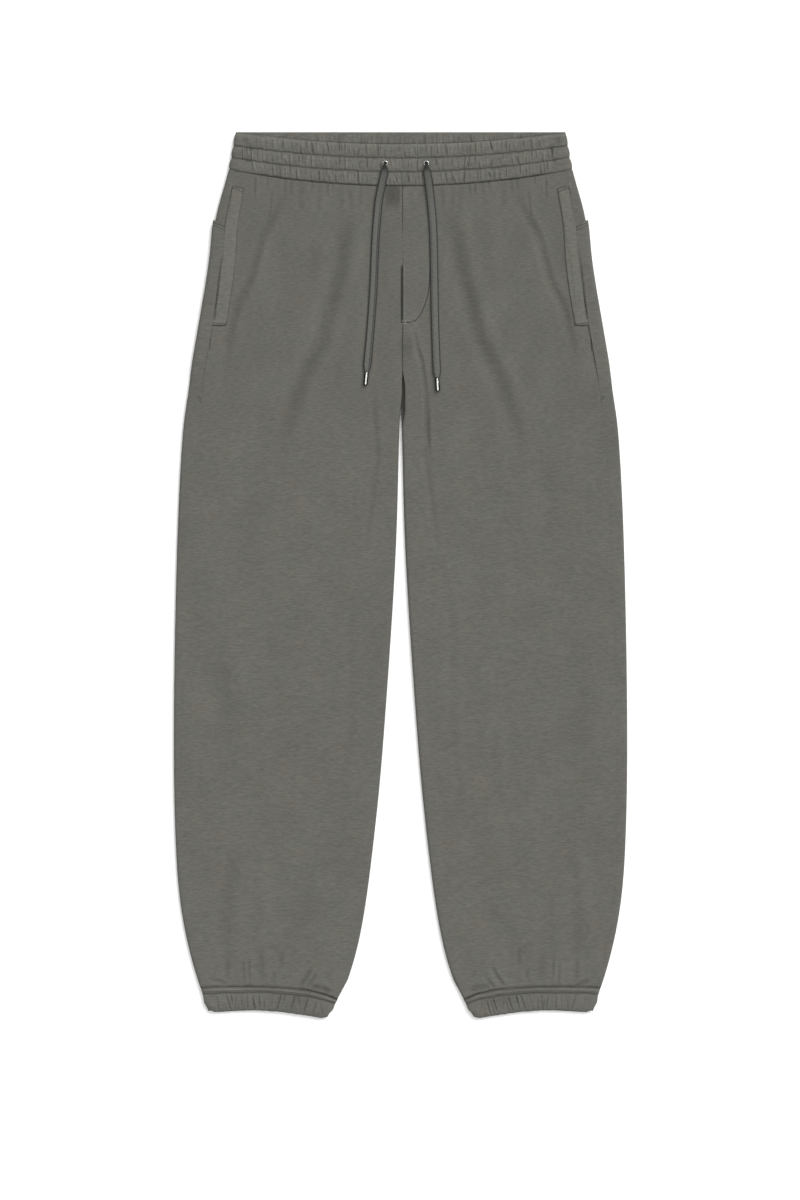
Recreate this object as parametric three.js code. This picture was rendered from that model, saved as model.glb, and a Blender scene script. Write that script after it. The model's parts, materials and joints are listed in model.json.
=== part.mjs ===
// Jogger sweatpants in heavy brushed jersey, laid flat with the front up: two fronts, two backs, an elastic
// waistband sewn in three channels, gathered elastic cuffs, side pocket welts, back patch pockets, and a flat
// drawcord that comes out of two eyelets and ends in metal tips.
// Millimetres. +X is the wearer's left, +Y runs from the hems to the waist, and +Z is up from the surface
// that the garment lies on. The origin is on that surface, under the middle of the garment.
// "down" is a distance from the waist's top edge towards the hems, and "out" one from the centre line.
import * as THREE from "three";

// Sizes of the whole garment.
const LENGTH = 1040;
const CLOTH = 2;
const SEAM_GAP = 0.3;
const SIDES = { right: -1, left: 1 };

// The silhouette's outer edge, from the waist's top edge to the cuffs.
const OUTER_EDGE = [
  { down: 0, out: 194.5 },
  { down: 43, out: 202.3 },
  { down: 80, out: 212.6 },
  { down: 105, out: 220.4 },
  { down: 150, out: 225.3 },
  { down: 244, out: 241 },
  { down: 338, out: 255 },
  { down: 455, out: 262 },
  { down: 549, out: 264.8 },
  { down: 666, out: 266.8 },
  { down: 784, out: 266.6 },
  { down: 854, out: 263.9 },
  { down: 901, out: 260.6 },
  { down: 948, out: 251.9 },
  { down: 995, out: 239.2 },
  { down: 1033, out: 225 },
];

// The inner edge of a leg, from the fork to the cuff.
const INNER_EDGE = [
  { down: 325, out: 0.5 },
  { down: 361, out: 2.3 },
  { down: 455, out: 4.1 },
  { down: 549, out: 8.8 },
  { down: 643, out: 15.3 },
  { down: 737, out: 21.7 },
  { down: 831, out: 31.7 },
  { down: 925, out: 44 },
  { down: 971, out: 54 },
  { down: 995, out: 62 },
  { down: 1019, out: 74.5 },
];

// The side seam lies on the front, this far inside the silhouette.
const SIDE_SEAM = [
  { down: 43, inside: 8 },
  { down: 66, inside: 10.5 },
  { down: 109, inside: 15 },
  { down: 317, inside: 15.5 },
  { down: 620, inside: 13 },
  { down: 1005, inside: 7 },
];

// Heights of the back's underside and of the front's upper side. The waistband, the patches and the cuffs
// lift them. A front sinks a little towards the middle of the leg.
const HEIGHTS = [
  { down: 43, under: 1.9, over: 8.6 },
  { down: 315, under: 1.9, over: 8.4 },
  { down: 350, under: 0, over: 7.2 },
  { down: 900, under: 0, over: 7 },
  { down: 985, under: 0, over: 7.3 },
  { down: 1005, under: 1, over: 8 },
];
const MIDDLE_SINKS = 0.8;

// The fronts and backs are shaped by rows this far down at the side, closer together where the outline turns.
const PANEL_ROWS = [
  43, 54, 66, 85, 106, 125, 150, 180, 210, 240, 270, 296, 315,
  334, 352, 400, 470, 560, 660, 760, 830, 885, 930, 962, 986, 1005.3,
];
const WAIST_REACH = 170;
const CUFF_REACH = 120;

// The fork, where the front and back seams turn into the two inseams, and how far a cloth edge rolls into its
// seam, in radians.
const FORK = { from: 296, to: 334 };
const SEAM_ROLL = 0.35;

// Steps round a cloth edge, across a back's flat face, and round its fold at the side.
const STEPS = { edge: 3, flat: 4, fold: 6 };
const SETTLING_PASSES = 6;
const ROW_CLEAR = 3;

// Gathers are uneven: each crest and trough stands off its even place by a share of its step, in a slow wave.
const UNEVEN = { share: 0.3, wave: 1.7 };

// Waistband: three channels of wide elastic. Its top dips at the middle of the front, and lies straight on
// the back. A plain face has few columns.
const BAND = {
  channels: 3,
  gathers: 44,
  backGathers: 22,
  plainColumns: 3,
  height: 43,
  topDip: 13.5,
  seamDip: 19.5,
  backSeamDip: 4,
  middle: 4.7,
  slit: 0.5,
  wall: 4.2,
  edge: 7.4,
  crest: 9.4,
  groove: 8.1,
  gather: 0.45,
  backTop: 1,
};
const CREST_SHARES = [0.25, 0.75];

// Rows down the inside of the waistband, from its top. The back's inner face shows above the front.
const BAND_LINING = [
  { at: 0, gather: 0.5, drop: 0.8 },
  { at: 0.1, gather: 1, drop: 0 },
  { at: 0.22, gather: 0.8, drop: 0 },
  { at: 0.36, gather: 0, drop: 0 },
  { at: 1, gather: 0, drop: 0 },
];

// The round ends of a flattened tube have columns at these shares of their radius.
const END_SHARES = [0.1, 0.4, 1];

// Cuffs: the seam, the lower side of the ridge below it, and the hem, from the inseam (share 0) to the side
// (share 1).
const CUFF_LINES = [
  { share: 0, seam: 1019.4, ridge: 1025, hem: 1040 },
  { share: 0.1, seam: 1013, ridge: 1019.5, hem: 1037 },
  { share: 0.25, seam: 1007.5, ridge: 1015, hem: 1033.8 },
  { share: 0.5, seam: 1004.5, ridge: 1011.2, hem: 1030 },
  { share: 0.75, seam: 1004, ridge: 1011.2, hem: 1029.4 },
  { share: 0.9, seam: 1004.5, ridge: 1012, hem: 1031 },
  { share: 1, seam: 1005.3, ridge: 1012.5, hem: 1033.2 },
];
const CUFF = {
  gathers: 14,
  liningColumns: 5,
  plainColumns: 2,
  seam: { inner: 74, outer: 235.3 },
  hem: { inner: 86, outer: 226.5 },
  middle: 4.6,
  slit: 0.5,
  wall: 4.2,
  gather: 0.45,
  scallop: 0.6,
};

// Rows round a cuff. "at" runs from the seam to the ridge's lower side (0 to 1) and on to the hem (1 to 2).
// Inside, a row at each of those three lines is enough.
const CUFF_ROWS = [
  { at: 0, over: 7.8, under: 0.6, gather: 0 },
  { at: 0.5, over: 9.7, under: 0.2, gather: 0.3 },
  { at: 1, over: 7.8, under: 0, gather: 0.3 },
  { at: 1.35, over: 9, under: 0, gather: 1 },
  { at: 1.85, over: 9, under: 0, gather: 1 },
  { at: 2, over: 6.6, under: 0.8, gather: 0.4 },
];
const CUFF_LINING = [0, 1, 2];

// Gathers that run from the waistband and from the cuffs into the fronts, and the broad soft folds of the
// fronts. Both are nil as far in from a seam as "none", and whole from "full".
const FRONT_GATHERS = { count: 10, height: 0.5, fromWaist: 95, fromCuff: 45 };
const SMOOTH_STRIP = { inner: { none: 2, full: 22 }, side: { none: 18, full: 32 } };
const FRONT_FOLDS = [
  { out: 62, down: 205, lean: 0.22, width: 13, reach: 95, height: -0.6 },
  { out: 96, down: 230, lean: 0.3, width: 15, reach: 110, height: 0.6 },
  { out: 150, down: 140, lean: -0.05, width: 11, reach: 70, height: -0.5 },
  { out: 34, down: 350, lean: -0.2, width: 10, reach: 80, height: -0.6 },
  { out: 128, down: 880, lean: 0.05, width: 26, reach: 90, height: -0.5 },
  { out: 170, down: 560, lean: 0.1, width: 30, reach: 140, height: -0.5 },
];

// Shares across the underside of a front, closer together where the cuff's seam curves.
const LINING_SHARES = [0, 0.08, 0.18, 0.3, 0.5, 0.75, 1];

// The fly: the wearer's left front laps over the right, and stands a little above it.
const FLY = { from: 128, whole: 153, fall: 210, to: 222, width: 7, reach: 21, lift: 0.7 };

// Pockets: the welt on each front, and the patch on each back, which comes round the side as far as the side
// seam.
const WELT = { from: 66, to: 226, topWidth: 13, bottomWidth: 15.8, thick: 1.6 };
const PATCH = {
  from: 115,
  to: 315,
  innerTop: 66,
  innerBottom: 78,
  sideDrop: 10.5,
  frontDrop: 0.35,
  topRise: 16,
  thick: 1.6,
};

// The back draws in under its patch, so that the patch keeps the silhouette.
const DRAWN_IN = [
  { down: 84, by: 0 },
  { down: 104, by: 1.9 },
  { down: 240, by: 1.9 },
  { down: 315, by: 1 },
  { down: 350, by: 0 },
];

// Drawcord: flat, with a metal tip on each end, out of an eyelet in the waistband's middle channel.
const CORD = { width: 9.6, thick: 2.4, blunt: 0.7, sides: 8, steps: 22 };
const TIP = { length: 15.5, radius: 2.4, chamfer: 0.5, sides: 16 };
const EYELET = { down: 36.3, hole: 2, rim: 3.4, height: 1.1, foot: 0.33, bore: 0.44, crown: 0.3, sides: 18 };
const CALM_ROUND_EYELET = { across: 7, along: 12 };
const EYELET_OUT = { right: 18.2, left: 30.2 };

// The route of each end of the cord, from its eyelet to its metal tip.
const CORD_ROUTES = {
  right: [
    { x: -18.4, down: 35.5, z: 12.3 },
    { x: -18.5, down: 41, z: 12.3 },
    { x: -19.4, down: 50, z: 11.5 },
    { x: -21.6, down: 60, z: 11.3 },
    { x: -25.6, down: 81, z: 10.7 },
    { x: -27.7, down: 103, z: 10.5 },
    { x: -29.4, down: 124, z: 10.2 },
    { x: -30.6, down: 150, z: 10 },
    { x: -31.6, down: 177, z: 9.9 },
    { x: -33.4, down: 207, z: 9.8 },
    { x: -35.6, down: 236, z: 9.8 },
    { x: -37.6, down: 258, z: 10.1 },
    { x: -38.8, down: 271, z: 10.7 },
    { x: -39.8, down: 281.5, z: 10.8 },
  ],
  left: [
    { x: 30.4, down: 35.5, z: 12.3 },
    { x: 30.6, down: 41, z: 12.3 },
    { x: 31.6, down: 50, z: 11.5 },
    { x: 33.2, down: 60, z: 11.3 },
    { x: 35.6, down: 81, z: 10.7 },
    { x: 37.6, down: 103, z: 10.5 },
    { x: 38.6, down: 124, z: 10.2 },
    { x: 39.2, down: 150, z: 10 },
    { x: 39.7, down: 177, z: 9.9 },
    { x: 40.2, down: 207, z: 9.8 },
    { x: 41, down: 238, z: 9.8 },
    { x: 41.9, down: 264, z: 10.1 },
    { x: 42.5, down: 278, z: 10.7 },
    { x: 43, down: 288.5, z: 10.8 },
  ],
};

const FINISHES = {
  jersey: { color: 0x6b6a63, roughness: 0.95, metalness: 0 },
  cord: { color: 0x666764, roughness: 0.85, metalness: 0 },
  metal: { color: 0xb9b9b6, roughness: 0.3, metalness: 1 },
};

const { lerp, clamp, smoothstep } = THREE.MathUtils;

// A smooth curve through one column of a table, as a function of another.
function curve(table, along, name) {
  const cubic = new THREE.CubicInterpolant(
    table.map((row) => row[along]),
    table.map((row) => row[name]),
    1,
  );
  const [first, last] = [table[0][along], table.at(-1)[along]];
  return (value) => cubic.evaluate(clamp(value, first, last))[0];
}

// A line that eases from each row of a table to the next, and keeps level stretches level.
function eased(table, along, name) {
  return (value) => {
    const next = table.findIndex((row) => row[along] > value);
    if (next < 0) return table.at(-1)[name];
    if (next === 0) return table[0][name];
    const [a, b] = [table[next - 1], table[next]];
    return lerp(a[name], b[name], smoothstep(value, a[along], b[along]));
  };
}

const outerEdge = curve(OUTER_EDGE, "down", "out");
const legInnerEdge = curve(INNER_EDGE, "down", "out");
const seamInside = curve(SIDE_SEAM, "down", "inside");
const under = eased(HEIGHTS, "down", "under");
const over = eased(HEIGHTS, "down", "over");
const drawnIn = eased(DRAWN_IN, "down", "by");
const cuffLine = {
  seam: curve(CUFF_LINES, "share", "seam"),
  ridge: curve(CUFF_LINES, "share", "ridge"),
  hem: curve(CUFF_LINES, "share", "hem"),
};

const innerEdge = (down) => (down < INNER_EDGE[0].down ? SEAM_GAP / 2 : legInnerEdge(down));
const backEdge = (down) => outerEdge(down) - drawnIn(down);
const sideSeam = (down) => outerEdge(down) - seamInside(down);
const inseamTurn = (down) => lerp(SEAM_ROLL, Math.PI / 2, smoothstep(down, FORK.from, FORK.to));
const foldRadius = (down) => (over(down) - under(down)) / 2;
const foldStart = (down) => backEdge(down) - foldRadius(down);
const rollRadius = (down) => (over(down) - under(down) - SEAM_GAP) / 2;
const fade = (distance, reach) => Math.max(0, 1 - distance / reach) ** 2;
const bow = (share) => 4 * share * (1 - share);
const upright = (side, out, down, z) => new THREE.Vector3(side * out, LENGTH / 2 - down, z);
const even = (count) => Array.from({ length: count + 1 }, (_, i) => i / count);
const between = (down, from, to) => down > from + ROW_CLEAR && down < to - ROW_CLEAR;
const rowsBetween = (from, to) => [from, ...PANEL_ROWS.filter((down) => between(down, from, to)), to];

// The seams that a front and a back have with the waistband and the cuff. The back's cuff seam runs straight.
const bandShare = (out) => 1 - (out / outerEdge(BAND.height)) ** 2;
const cuffShare = (out) => clamp((out - CUFF.seam.inner) / (CUFF.seam.outer - CUFF.seam.inner), 0, 1);
const backCuffSeam = (share) => lerp(CUFF_LINES[0].seam, CUFF_LINES.at(-1).seam, share);
const FRONT_SEAMS = {
  waist: (out) => BAND.height + BAND.seamDip * bandShare(out),
  cuff: (out) => cuffLine.seam(cuffShare(out)),
};
const BACK_SEAMS = {
  waist: (out) => BAND.height + BAND.backSeamDip * bandShare(out),
  cuff: (out) => backCuffSeam(cuffShare(out)),
};

// Shares across a piece for the crests and troughs of its gathers, unevenly spaced.
const gathered = (count) =>
  Array.from({ length: 2 * count + 1 }, (_, i) => {
    const inside = i > 0 && i < 2 * count;
    return (i + (inside ? UNEVEN.share * Math.sin(UNEVEN.wave * i) : 0)) / (2 * count);
  });

// A closed shell between an outer and an inner grid of points, each a list of rows. A loop's rows close on
// themselves.
function shell(outer, inner, loop = false) {
  const points = [];
  const numbered = (grid) =>
    grid.map((row) => {
      const line = row.map((point) => points.push(point) - 1);
      return loop ? [...line, line[0]] : line;
    });
  const [outside, inside] = [numbered(outer), numbered(inner)];
  const faces = [];
  const skin = (grid, flip) => {
    for (let r = 0; r < grid.length - 1; r++) {
      for (let i = 0; i < grid[r].length - 1; i++) {
        const [a, b, c, d] = [grid[r][i], grid[r + 1][i], grid[r + 1][i + 1], grid[r][i + 1]];
        if (flip) faces.push([a, c, b], [a, d, c]);
        else faces.push([a, b, c], [a, c, d]);
      }
    }
  };
  const apart = (a, b) => points[a].distanceTo(points[b]);
  const join = (first, second) => {
    let [i, k] = [0, 0];
    while (i < first.length - 1 || k < second.length - 1) {
      const [atEnd, otherAtEnd] = [i === first.length - 1, k === second.length - 1];
      const shorter = () => apart(first[i + 1], second[k]) <= apart(first[i], second[k + 1]);
      if (otherAtEnd || (!atEnd && shorter())) {
        faces.push([first[i], first[i + 1], second[k]]);
        i++;
      } else {
        faces.push([first[i], second[k + 1], second[k]]);
        k++;
      }
    }
  };
  skin(outside, false);
  skin(inside, true);
  join(outside[0], inside[0]);
  join([...outside.at(-1)].reverse(), [...inside.at(-1)].reverse());
  if (!loop) {
    join(outside.map((row) => row[0]).reverse(), inside.map((row) => row[0]).reverse());
    join(outside.map((row) => row.at(-1)), inside.map((row) => row.at(-1)));
  }
  const volume = faces.reduce(
    (sum, [a, b, c]) => sum + points[a].dot(new THREE.Vector3().crossVectors(points[b], points[c])),
    0,
  );
  const geometry = new THREE.BufferGeometry().setFromPoints(points);
  geometry.setIndex(faces.flatMap(([a, b, c]) => (volume > 0 ? [a, b, c] : [a, c, b])));
  geometry.computeVertexNormals();
  return geometry;
}

// How far down a panel's point is, from its row and how far out it is. The rows bend to the waist and cuff
// seams.
function panelDown(row, out, seams) {
  const cuffTop = PANEL_ROWS.at(-1);
  const atWaist = (seams.waist(out) + SEAM_GAP - BAND.height) * fade(row - BAND.height, WAIST_REACH);
  const atCuff = (seams.cuff(out) - SEAM_GAP - cuffTop) * fade(cuffTop - row, CUFF_REACH);
  return row + atWaist + atCuff;
}

// A panel's point whose distance out itself depends on how far down it is.
function settle(row, seams, outAt) {
  let down = row;
  for (let pass = 0; pass < SETTLING_PASSES; pass++) down = panelDown(row, outAt(down), seams);
  return { out: outAt(down), down };
}

// Height of the broad folds of a front at a place.
function foldHeight(out, down) {
  return FRONT_FOLDS.reduce((sum, fold) => {
    const off = out - fold.out - fold.lean * (down - fold.down);
    const along = (down - fold.down) / fold.reach;
    return sum + fold.height * Math.exp(-((off / fold.width) ** 2) - along ** 2);
  }, 0);
}

// Height of a front's upper side. It sinks towards the middle of the leg, and is smooth beside the seams and
// the welt.
function frontHeight(side, out, down, crest) {
  const [inner, outer] = [innerEdge(down), outerEdge(down)];
  const { inner: innerStrip, side: sideStrip } = SMOOTH_STRIP;
  const clearOfSide = smoothstep(sideSeam(down) - out, sideStrip.none, sideStrip.full);
  const calm = smoothstep(out - inner, innerStrip.none, innerStrip.full) * clearOfSide;
  const fromWaist = fade(down - FRONT_SEAMS.waist(out), FRONT_GATHERS.fromWaist);
  const fromCuff = fade(FRONT_SEAMS.cuff(out) - down, FRONT_GATHERS.fromCuff);
  const ripple = crest * FRONT_GATHERS.height * Math.max(fromWaist, fromCuff);
  const sunk = MIDDLE_SINKS * bow(clamp((out - inner) / (outer - inner), 0, 1));
  const lap = side > 0 ? flyLift(out, down) : 0;
  return over(down) - sunk + (foldHeight(out, down) + ripple) * calm + lap;
}

function flyLift(out, down) {
  const along = smoothstep(down, FLY.from, FLY.whole) * (1 - smoothstep(down, FLY.fall, FLY.to));
  return FLY.lift * along * (1 - smoothstep(out, FLY.width, FLY.reach));
}

// Points round a cloth edge that rolls into its seam, from "angle" to level, without the last.
const roll = (angle, point) => even(STEPS.edge).slice(0, -1).map((share) => point(lerp(angle, 0, share)));

function frontPanel(side) {
  const line = (row, depth, shares, height) => {
    const edge = settle(row, FRONT_SEAMS, innerEdge);
    const angle = inseamTurn(edge.down);
    const radius = rollRadius(edge.down);
    const centre = (down) => innerEdge(down) + radius * Math.sin(angle);
    const rolled = (a) => {
      const { out, down } = settle(row, FRONT_SEAMS, (at) => centre(at) - (radius - depth) * Math.sin(a));
      return upright(side, out, down, over(down) - radius + (radius - depth) * Math.cos(a));
    };
    const laid = (share, i) => {
      const across = (down) => lerp(centre(down), sideSeam(down) - SEAM_GAP / 2, share);
      const { out, down } = settle(row, FRONT_SEAMS, across);
      return upright(side, out, down, height(share, out, down, i % 2 ? 1 : -1));
    };
    return [...roll(angle, rolled), ...shares.map(laid)];
  };
  const upper = (share, out, down, crest) => frontHeight(side, out, down, crest);
  const lower = (share, out, down) => over(down) - CLOTH - MIDDLE_SINKS * bow(share);
  return shell(
    PANEL_ROWS.map((row) => line(row, 0, gathered(FRONT_GATHERS.count), upper)),
    PANEL_ROWS.map((row) => line(row, CLOTH, LINING_SHARES, lower)),
  );
}

// A point on a back's fold round the side: angle 0 is on the underside, and half a turn is on the front.
function foldPoint(side, down, angle, proud) {
  const half = foldRadius(down);
  const height = under(down) + half - (half + proud) * Math.cos(angle);
  return upright(side, foldStart(down) + (half + proud) * Math.sin(angle), down, height);
}

const onSideSeam = (side, down, proud) =>
  upright(side, sideSeam(down) + SEAM_GAP / 2, down, over(down) + proud);

function backPanel(side) {
  const line = (row, proud) => {
    const edge = settle(row, BACK_SEAMS, innerEdge);
    const angle = inseamTurn(edge.down);
    const radius = rollRadius(edge.down);
    const centre = (down) => innerEdge(down) + radius * Math.sin(angle);
    const rolled = (a) => {
      const { out, down } = settle(row, BACK_SEAMS, (at) => centre(at) - (radius + proud) * Math.sin(a));
      return upright(side, out, down, under(down) + radius - (radius + proud) * Math.cos(a));
    };
    const laid = (share) => {
      const { out, down } = settle(row, BACK_SEAMS, (at) => lerp(centre(at), foldStart(at), share));
      return upright(side, out, down, under(down) - proud);
    };
    const folded = (share) => {
      const angle = share * Math.PI;
      const seams = share < 0.5 ? BACK_SEAMS : FRONT_SEAMS;
      const { down } = settle(row, seams, (at) => foldStart(at) + foldRadius(at) * Math.sin(angle));
      return foldPoint(side, down, angle, proud);
    };
    const seam = settle(row, FRONT_SEAMS, sideSeam);
    return [
      ...roll(angle, rolled),
      ...even(STEPS.flat).slice(0, -1).map(laid),
      ...even(STEPS.fold).map(folded),
      onSideSeam(side, seam.down, proud),
    ];
  };
  return shell(
    PANEL_ROWS.map((row) => line(row, 0)),
    PANEL_ROWS.map((row) => line(row, -CLOTH)),
  );
}

// The patch pocket lies on the back's own surface, moved out. Its hemmed top slopes down towards the side
// seam.
function backPocket(side) {
  const line = (seamDown, proud) => {
    const slope = (PATCH.to - seamDown) / (PATCH.to - PATCH.from);
    const inner = lerp(PATCH.innerBottom, PATCH.innerTop, slope);
    const laid = even(STEPS.flat).slice(0, -1).map((share) => {
      const down = seamDown - slope * (PATCH.sideDrop + PATCH.topRise * (1 - share));
      return upright(side, lerp(inner, foldStart(down), share), down, under(down) - proud);
    });
    const folded = even(STEPS.fold).map((share) => {
      const down = seamDown - slope * PATCH.sideDrop * (1 - PATCH.frontDrop * share);
      return foldPoint(side, down, share * Math.PI, proud);
    });
    return [...laid, ...folded, onSideSeam(side, seamDown, proud)];
  };
  const rows = rowsBetween(PATCH.from, PATCH.to);
  return shell(
    rows.map((down) => line(down, SEAM_GAP + PATCH.thick)),
    rows.map((down) => line(down, SEAM_GAP)),
  );
}

// The welt: a folded strip on the front, along the side seam.
function pocketWelt(side) {
  const line = (down, lift) => {
    const width = lerp(WELT.topWidth, WELT.bottomWidth, (down - WELT.from) / (WELT.to - WELT.from));
    return even(2).map((share) => {
      const out = sideSeam(down) - lerp(SEAM_GAP / 2, width, share);
      return upright(side, out, down, over(down) + lift);
    });
  };
  const rows = rowsBetween(WELT.from, WELT.to);
  return shell(
    rows.map((down) => line(down, SEAM_GAP + WELT.thick)),
    rows.map((down) => line(down, SEAM_GAP)),
  );
}

// Shares across one face of a flattened tube, from end to end, with how far each gather rises or falls there.
function faceColumns(width, radius, gathers) {
  const ends = END_SHARES.map((share) => (share * radius) / width);
  const [first, last] = [ends.at(-1), 1 - ends.at(-1)];
  const middle = gathered(gathers).slice(1, -1).map((share, i) => ({
    share: lerp(first, last, share),
    crest: i % 2 ? -1 : 1,
  }));
  return [
    ...ends.map((share) => ({ share, crest: 0 })),
    ...middle,
    ...[...ends].reverse().map((share) => ({ share: 1 - share, crest: 0 })),
  ];
}

// How full a flattened tube's face is near its round ends, from 0 at the very end to 1.
const fullness = (share, width, radius) =>
  Math.sqrt(1 - (1 - clamp((Math.min(share, 1 - share) * width) / radius, 0, 1)) ** 2);

// One row round a flattened tube: an end, the upper face, the other end, and back along the lower face.
function tubeRow(upperColumns, lowerColumns, upperPoint, lowerPoint, endPoint) {
  return [
    endPoint(0),
    ...upperColumns.map(({ share, crest }) => upperPoint(share, crest)),
    endPoint(1),
    ...[...lowerColumns].reverse().map(({ share, crest }) => lowerPoint(share, crest)),
  ];
}

// A place on the waistband: "at" runs from its top edge to its seam, and "share" from its right end to its
// left.
function bandPlace(at, share, topDip, seamDip) {
  const across = 2 * share - 1;
  const dip = 1 - across ** 2;
  const out = across * outerEdge(at * BAND.height);
  return { out, down: lerp(topDip * dip, BAND.height + seamDip * dip, at) };
}

const frontOfBand = (at, share) => bandPlace(at, share, BAND.topDip, BAND.seamDip);
const backOfBand = (at, share) => bandPlace(at, share, 0, BAND.backSeamDip);

const byEyelet = ({ out, down }) =>
  Math.abs(down - EYELET.down) < CALM_ROUND_EYELET.along &&
  Math.min(Math.abs(out + EYELET_OUT.right), Math.abs(out - EYELET_OUT.left)) < CALM_ROUND_EYELET.across;

function waistband() {
  const { middle, slit, wall, crest: full, groove, edge, channels, plainColumns } = BAND;
  const width = 2 * outerEdge(0);
  const endPoint = (at, inset) => (end) => {
    const { out, down } = frontOfBand(at, end);
    return upright(1, out - Math.sign(out) * inset, down, middle);
  };
  const profile = [{ at: 0, height: edge, gather: 0.3 }];
  for (let channel = 0; channel < channels; channel++) {
    for (const share of CREST_SHARES) {
      profile.push({ at: (channel + share) / channels, height: full, gather: 1 });
    }
    profile.push({ at: (channel + 1) / channels, height: groove, gather: 0.3 });
  }
  const rowsOfTwoChannels = 2 * (CREST_SHARES.length + 1);
  const outer = profile.map(({ at, height, gather }, row) => {
    const shift = row % rowsOfTwoChannels < rowsOfTwoChannels / 2 ? 1 : -1;
    const upper = (share, crest) => {
      const place = frontOfBand(at, share);
      const wave = byEyelet(place) ? 0 : shift * crest * gather * BAND.gather;
      const raised = (height + wave - middle) * fullness(share, width, middle);
      return upright(1, place.out, place.down, middle + raised);
    };
    const lower = (share) => {
      const { out, down } = backOfBand(at, share);
      const lowest = at === 0 ? BAND.backTop : 0;
      return upright(1, out, down, middle + (lowest - middle) * fullness(share, width, middle));
    };
    const [upperColumns, lowerColumns] = [BAND.gathers, plainColumns].map((count) =>
      faceColumns(width, middle, count),
    );
    return tubeRow(upperColumns, lowerColumns, upper, lower, endPoint(at, 0));
  });
  const inner = BAND_LINING.map(({ at, gather, drop }) => {
    const inward = (share) => lerp(wall / width, 1 - wall / width, share);
    const upper = (share) => {
      const { out, down } = frontOfBand(at, inward(share));
      return upright(1, out, down, middle + slit / 2);
    };
    const lower = (share, crest) => {
      const { out, down } = backOfBand(at, inward(share));
      return upright(1, out, down, middle - slit / 2 - drop - (crest < 0 ? gather * BAND.gather : 0));
    };
    const [upperColumns, lowerColumns] = [plainColumns, BAND.backGathers].map((count) =>
      faceColumns(width, wall, count),
    );
    return tubeRow(upperColumns, lowerColumns, upper, lower, endPoint(at, wall));
  });
  return shell(outer, inner, true);
}

// A place on a cuff: "at" runs from its seam (0) by the ridge (1) to the hem (2), "share" from the inseam to
// the side.
function cuffPlace(at, share, seam = cuffLine.seam(share)) {
  const ridge = seam + cuffLine.ridge(share) - cuffLine.seam(share);
  const hem = cuffLine.hem(share);
  const down = at < 1 ? lerp(seam, ridge, at) : lerp(ridge, hem, at - 1);
  const fall = (down - seam) / (hem - seam);
  const [inner, outer] = ["inner", "outer"].map((end) => lerp(CUFF.seam[end], CUFF.hem[end], fall));
  return { out: lerp(inner, outer, share), down };
}

function cuff(side) {
  const { middle, slit, wall, gathers, liningColumns, plainColumns, gather: deep, scallop } = CUFF;
  const width = CUFF.seam.outer - CUFF.seam.inner;
  const columns = (radius, count) => faceColumns(width, radius, count);
  const endPoint = (at, inset) => (end) => {
    const { out, down } = cuffPlace(at, end);
    return upright(side, out + (end ? -inset : inset), down, middle);
  };
  const outer = CUFF_ROWS.map(({ at, over: top, under: bottom, gather }) => {
    const upper = (share, crest) => {
      const { out, down } = cuffPlace(at, share);
      const height = middle + (top + crest * gather * deep - middle) * fullness(share, width, middle);
      return upright(side, out, down + (at === 2 ? crest * scallop : 0), height);
    };
    const lower = (share) => {
      const { out, down } = cuffPlace(at, share, backCuffSeam(share));
      return upright(side, out, down, middle + (bottom - middle) * fullness(share, width, middle));
    };
    return tubeRow(columns(middle, gathers), columns(middle, plainColumns), upper, lower, endPoint(at, 0));
  });
  const inner = CUFF_LINING.map((at) => {
    const inward = (share) => lerp(wall / width, 1 - wall / width, share);
    const upper = (share) => {
      const { out, down } = cuffPlace(at, inward(share));
      return upright(side, out, down, middle + slit / 2);
    };
    const lower = (share) => {
      const { out, down } = cuffPlace(at, inward(share), backCuffSeam(inward(share)));
      return upright(side, out, down, middle - slit / 2);
    };
    const [upperColumns, lowerColumns] = [liningColumns, plainColumns].map((count) => columns(wall, count));
    return tubeRow(upperColumns, lowerColumns, upper, lower, endPoint(at, wall));
  });
  return shell(outer, inner, true);
}

// A round piece about +Z, from its profile of radius and height.
function turned(profile, sides) {
  const points = profile.map(([radius, height]) => new THREE.Vector2(radius, height));
  return new THREE.LatheGeometry(points, sides).rotateX(Math.PI / 2);
}

function eyelet() {
  const { hole, rim, height, foot, bore, crown, sides } = EYELET;
  const middle = (hole + rim) / 2;
  return turned(
    [
      [hole, 0],
      [rim, 0],
      [rim, foot],
      [middle + crown, height],
      [middle - crown, height],
      [hole, bore],
      [hole, 0],
    ],
    sides,
  );
}

function cordTip() {
  const { length, radius, chamfer, sides } = TIP;
  const neck = radius - chamfer;
  return turned(
    [
      [0, 0],
      [neck, 0],
      [radius, chamfer],
      [radius, length - chamfer],
      [neck, length],
      [0, length],
    ],
    sides,
  );
}

const routePoints = (name) => CORD_ROUTES[name].map(({ x, down, z }) => upright(1, x, down, z));

// The flat cord: a rounded oblong section, thin side up, along its route.
function drawcord(name) {
  const route = new THREE.CatmullRomCurve3(routePoints(name), false, "centripetal");
  const blunt = (value) => Math.sign(value) * Math.abs(value) ** CORD.blunt;
  const section = Array.from({ length: CORD.sides }, (_, i) => {
    const angle = (2 * Math.PI * (i + 0.5)) / CORD.sides;
    const [up, across] = [blunt(Math.cos(angle)), blunt(Math.sin(angle))];
    return new THREE.Vector2((CORD.thick / 2) * up, (CORD.width / 2) * across);
  });
  return new THREE.ExtrudeGeometry(new THREE.Shape(section), { steps: CORD.steps, extrudePath: route });
}

const garment = new THREE.Group();

function add(name, geometry, finish) {
  const mesh = new THREE.Mesh(geometry, new THREE.MeshStandardMaterial(FINISHES[finish]));
  mesh.name = name;
  garment.add(mesh);
  return mesh;
}

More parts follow.
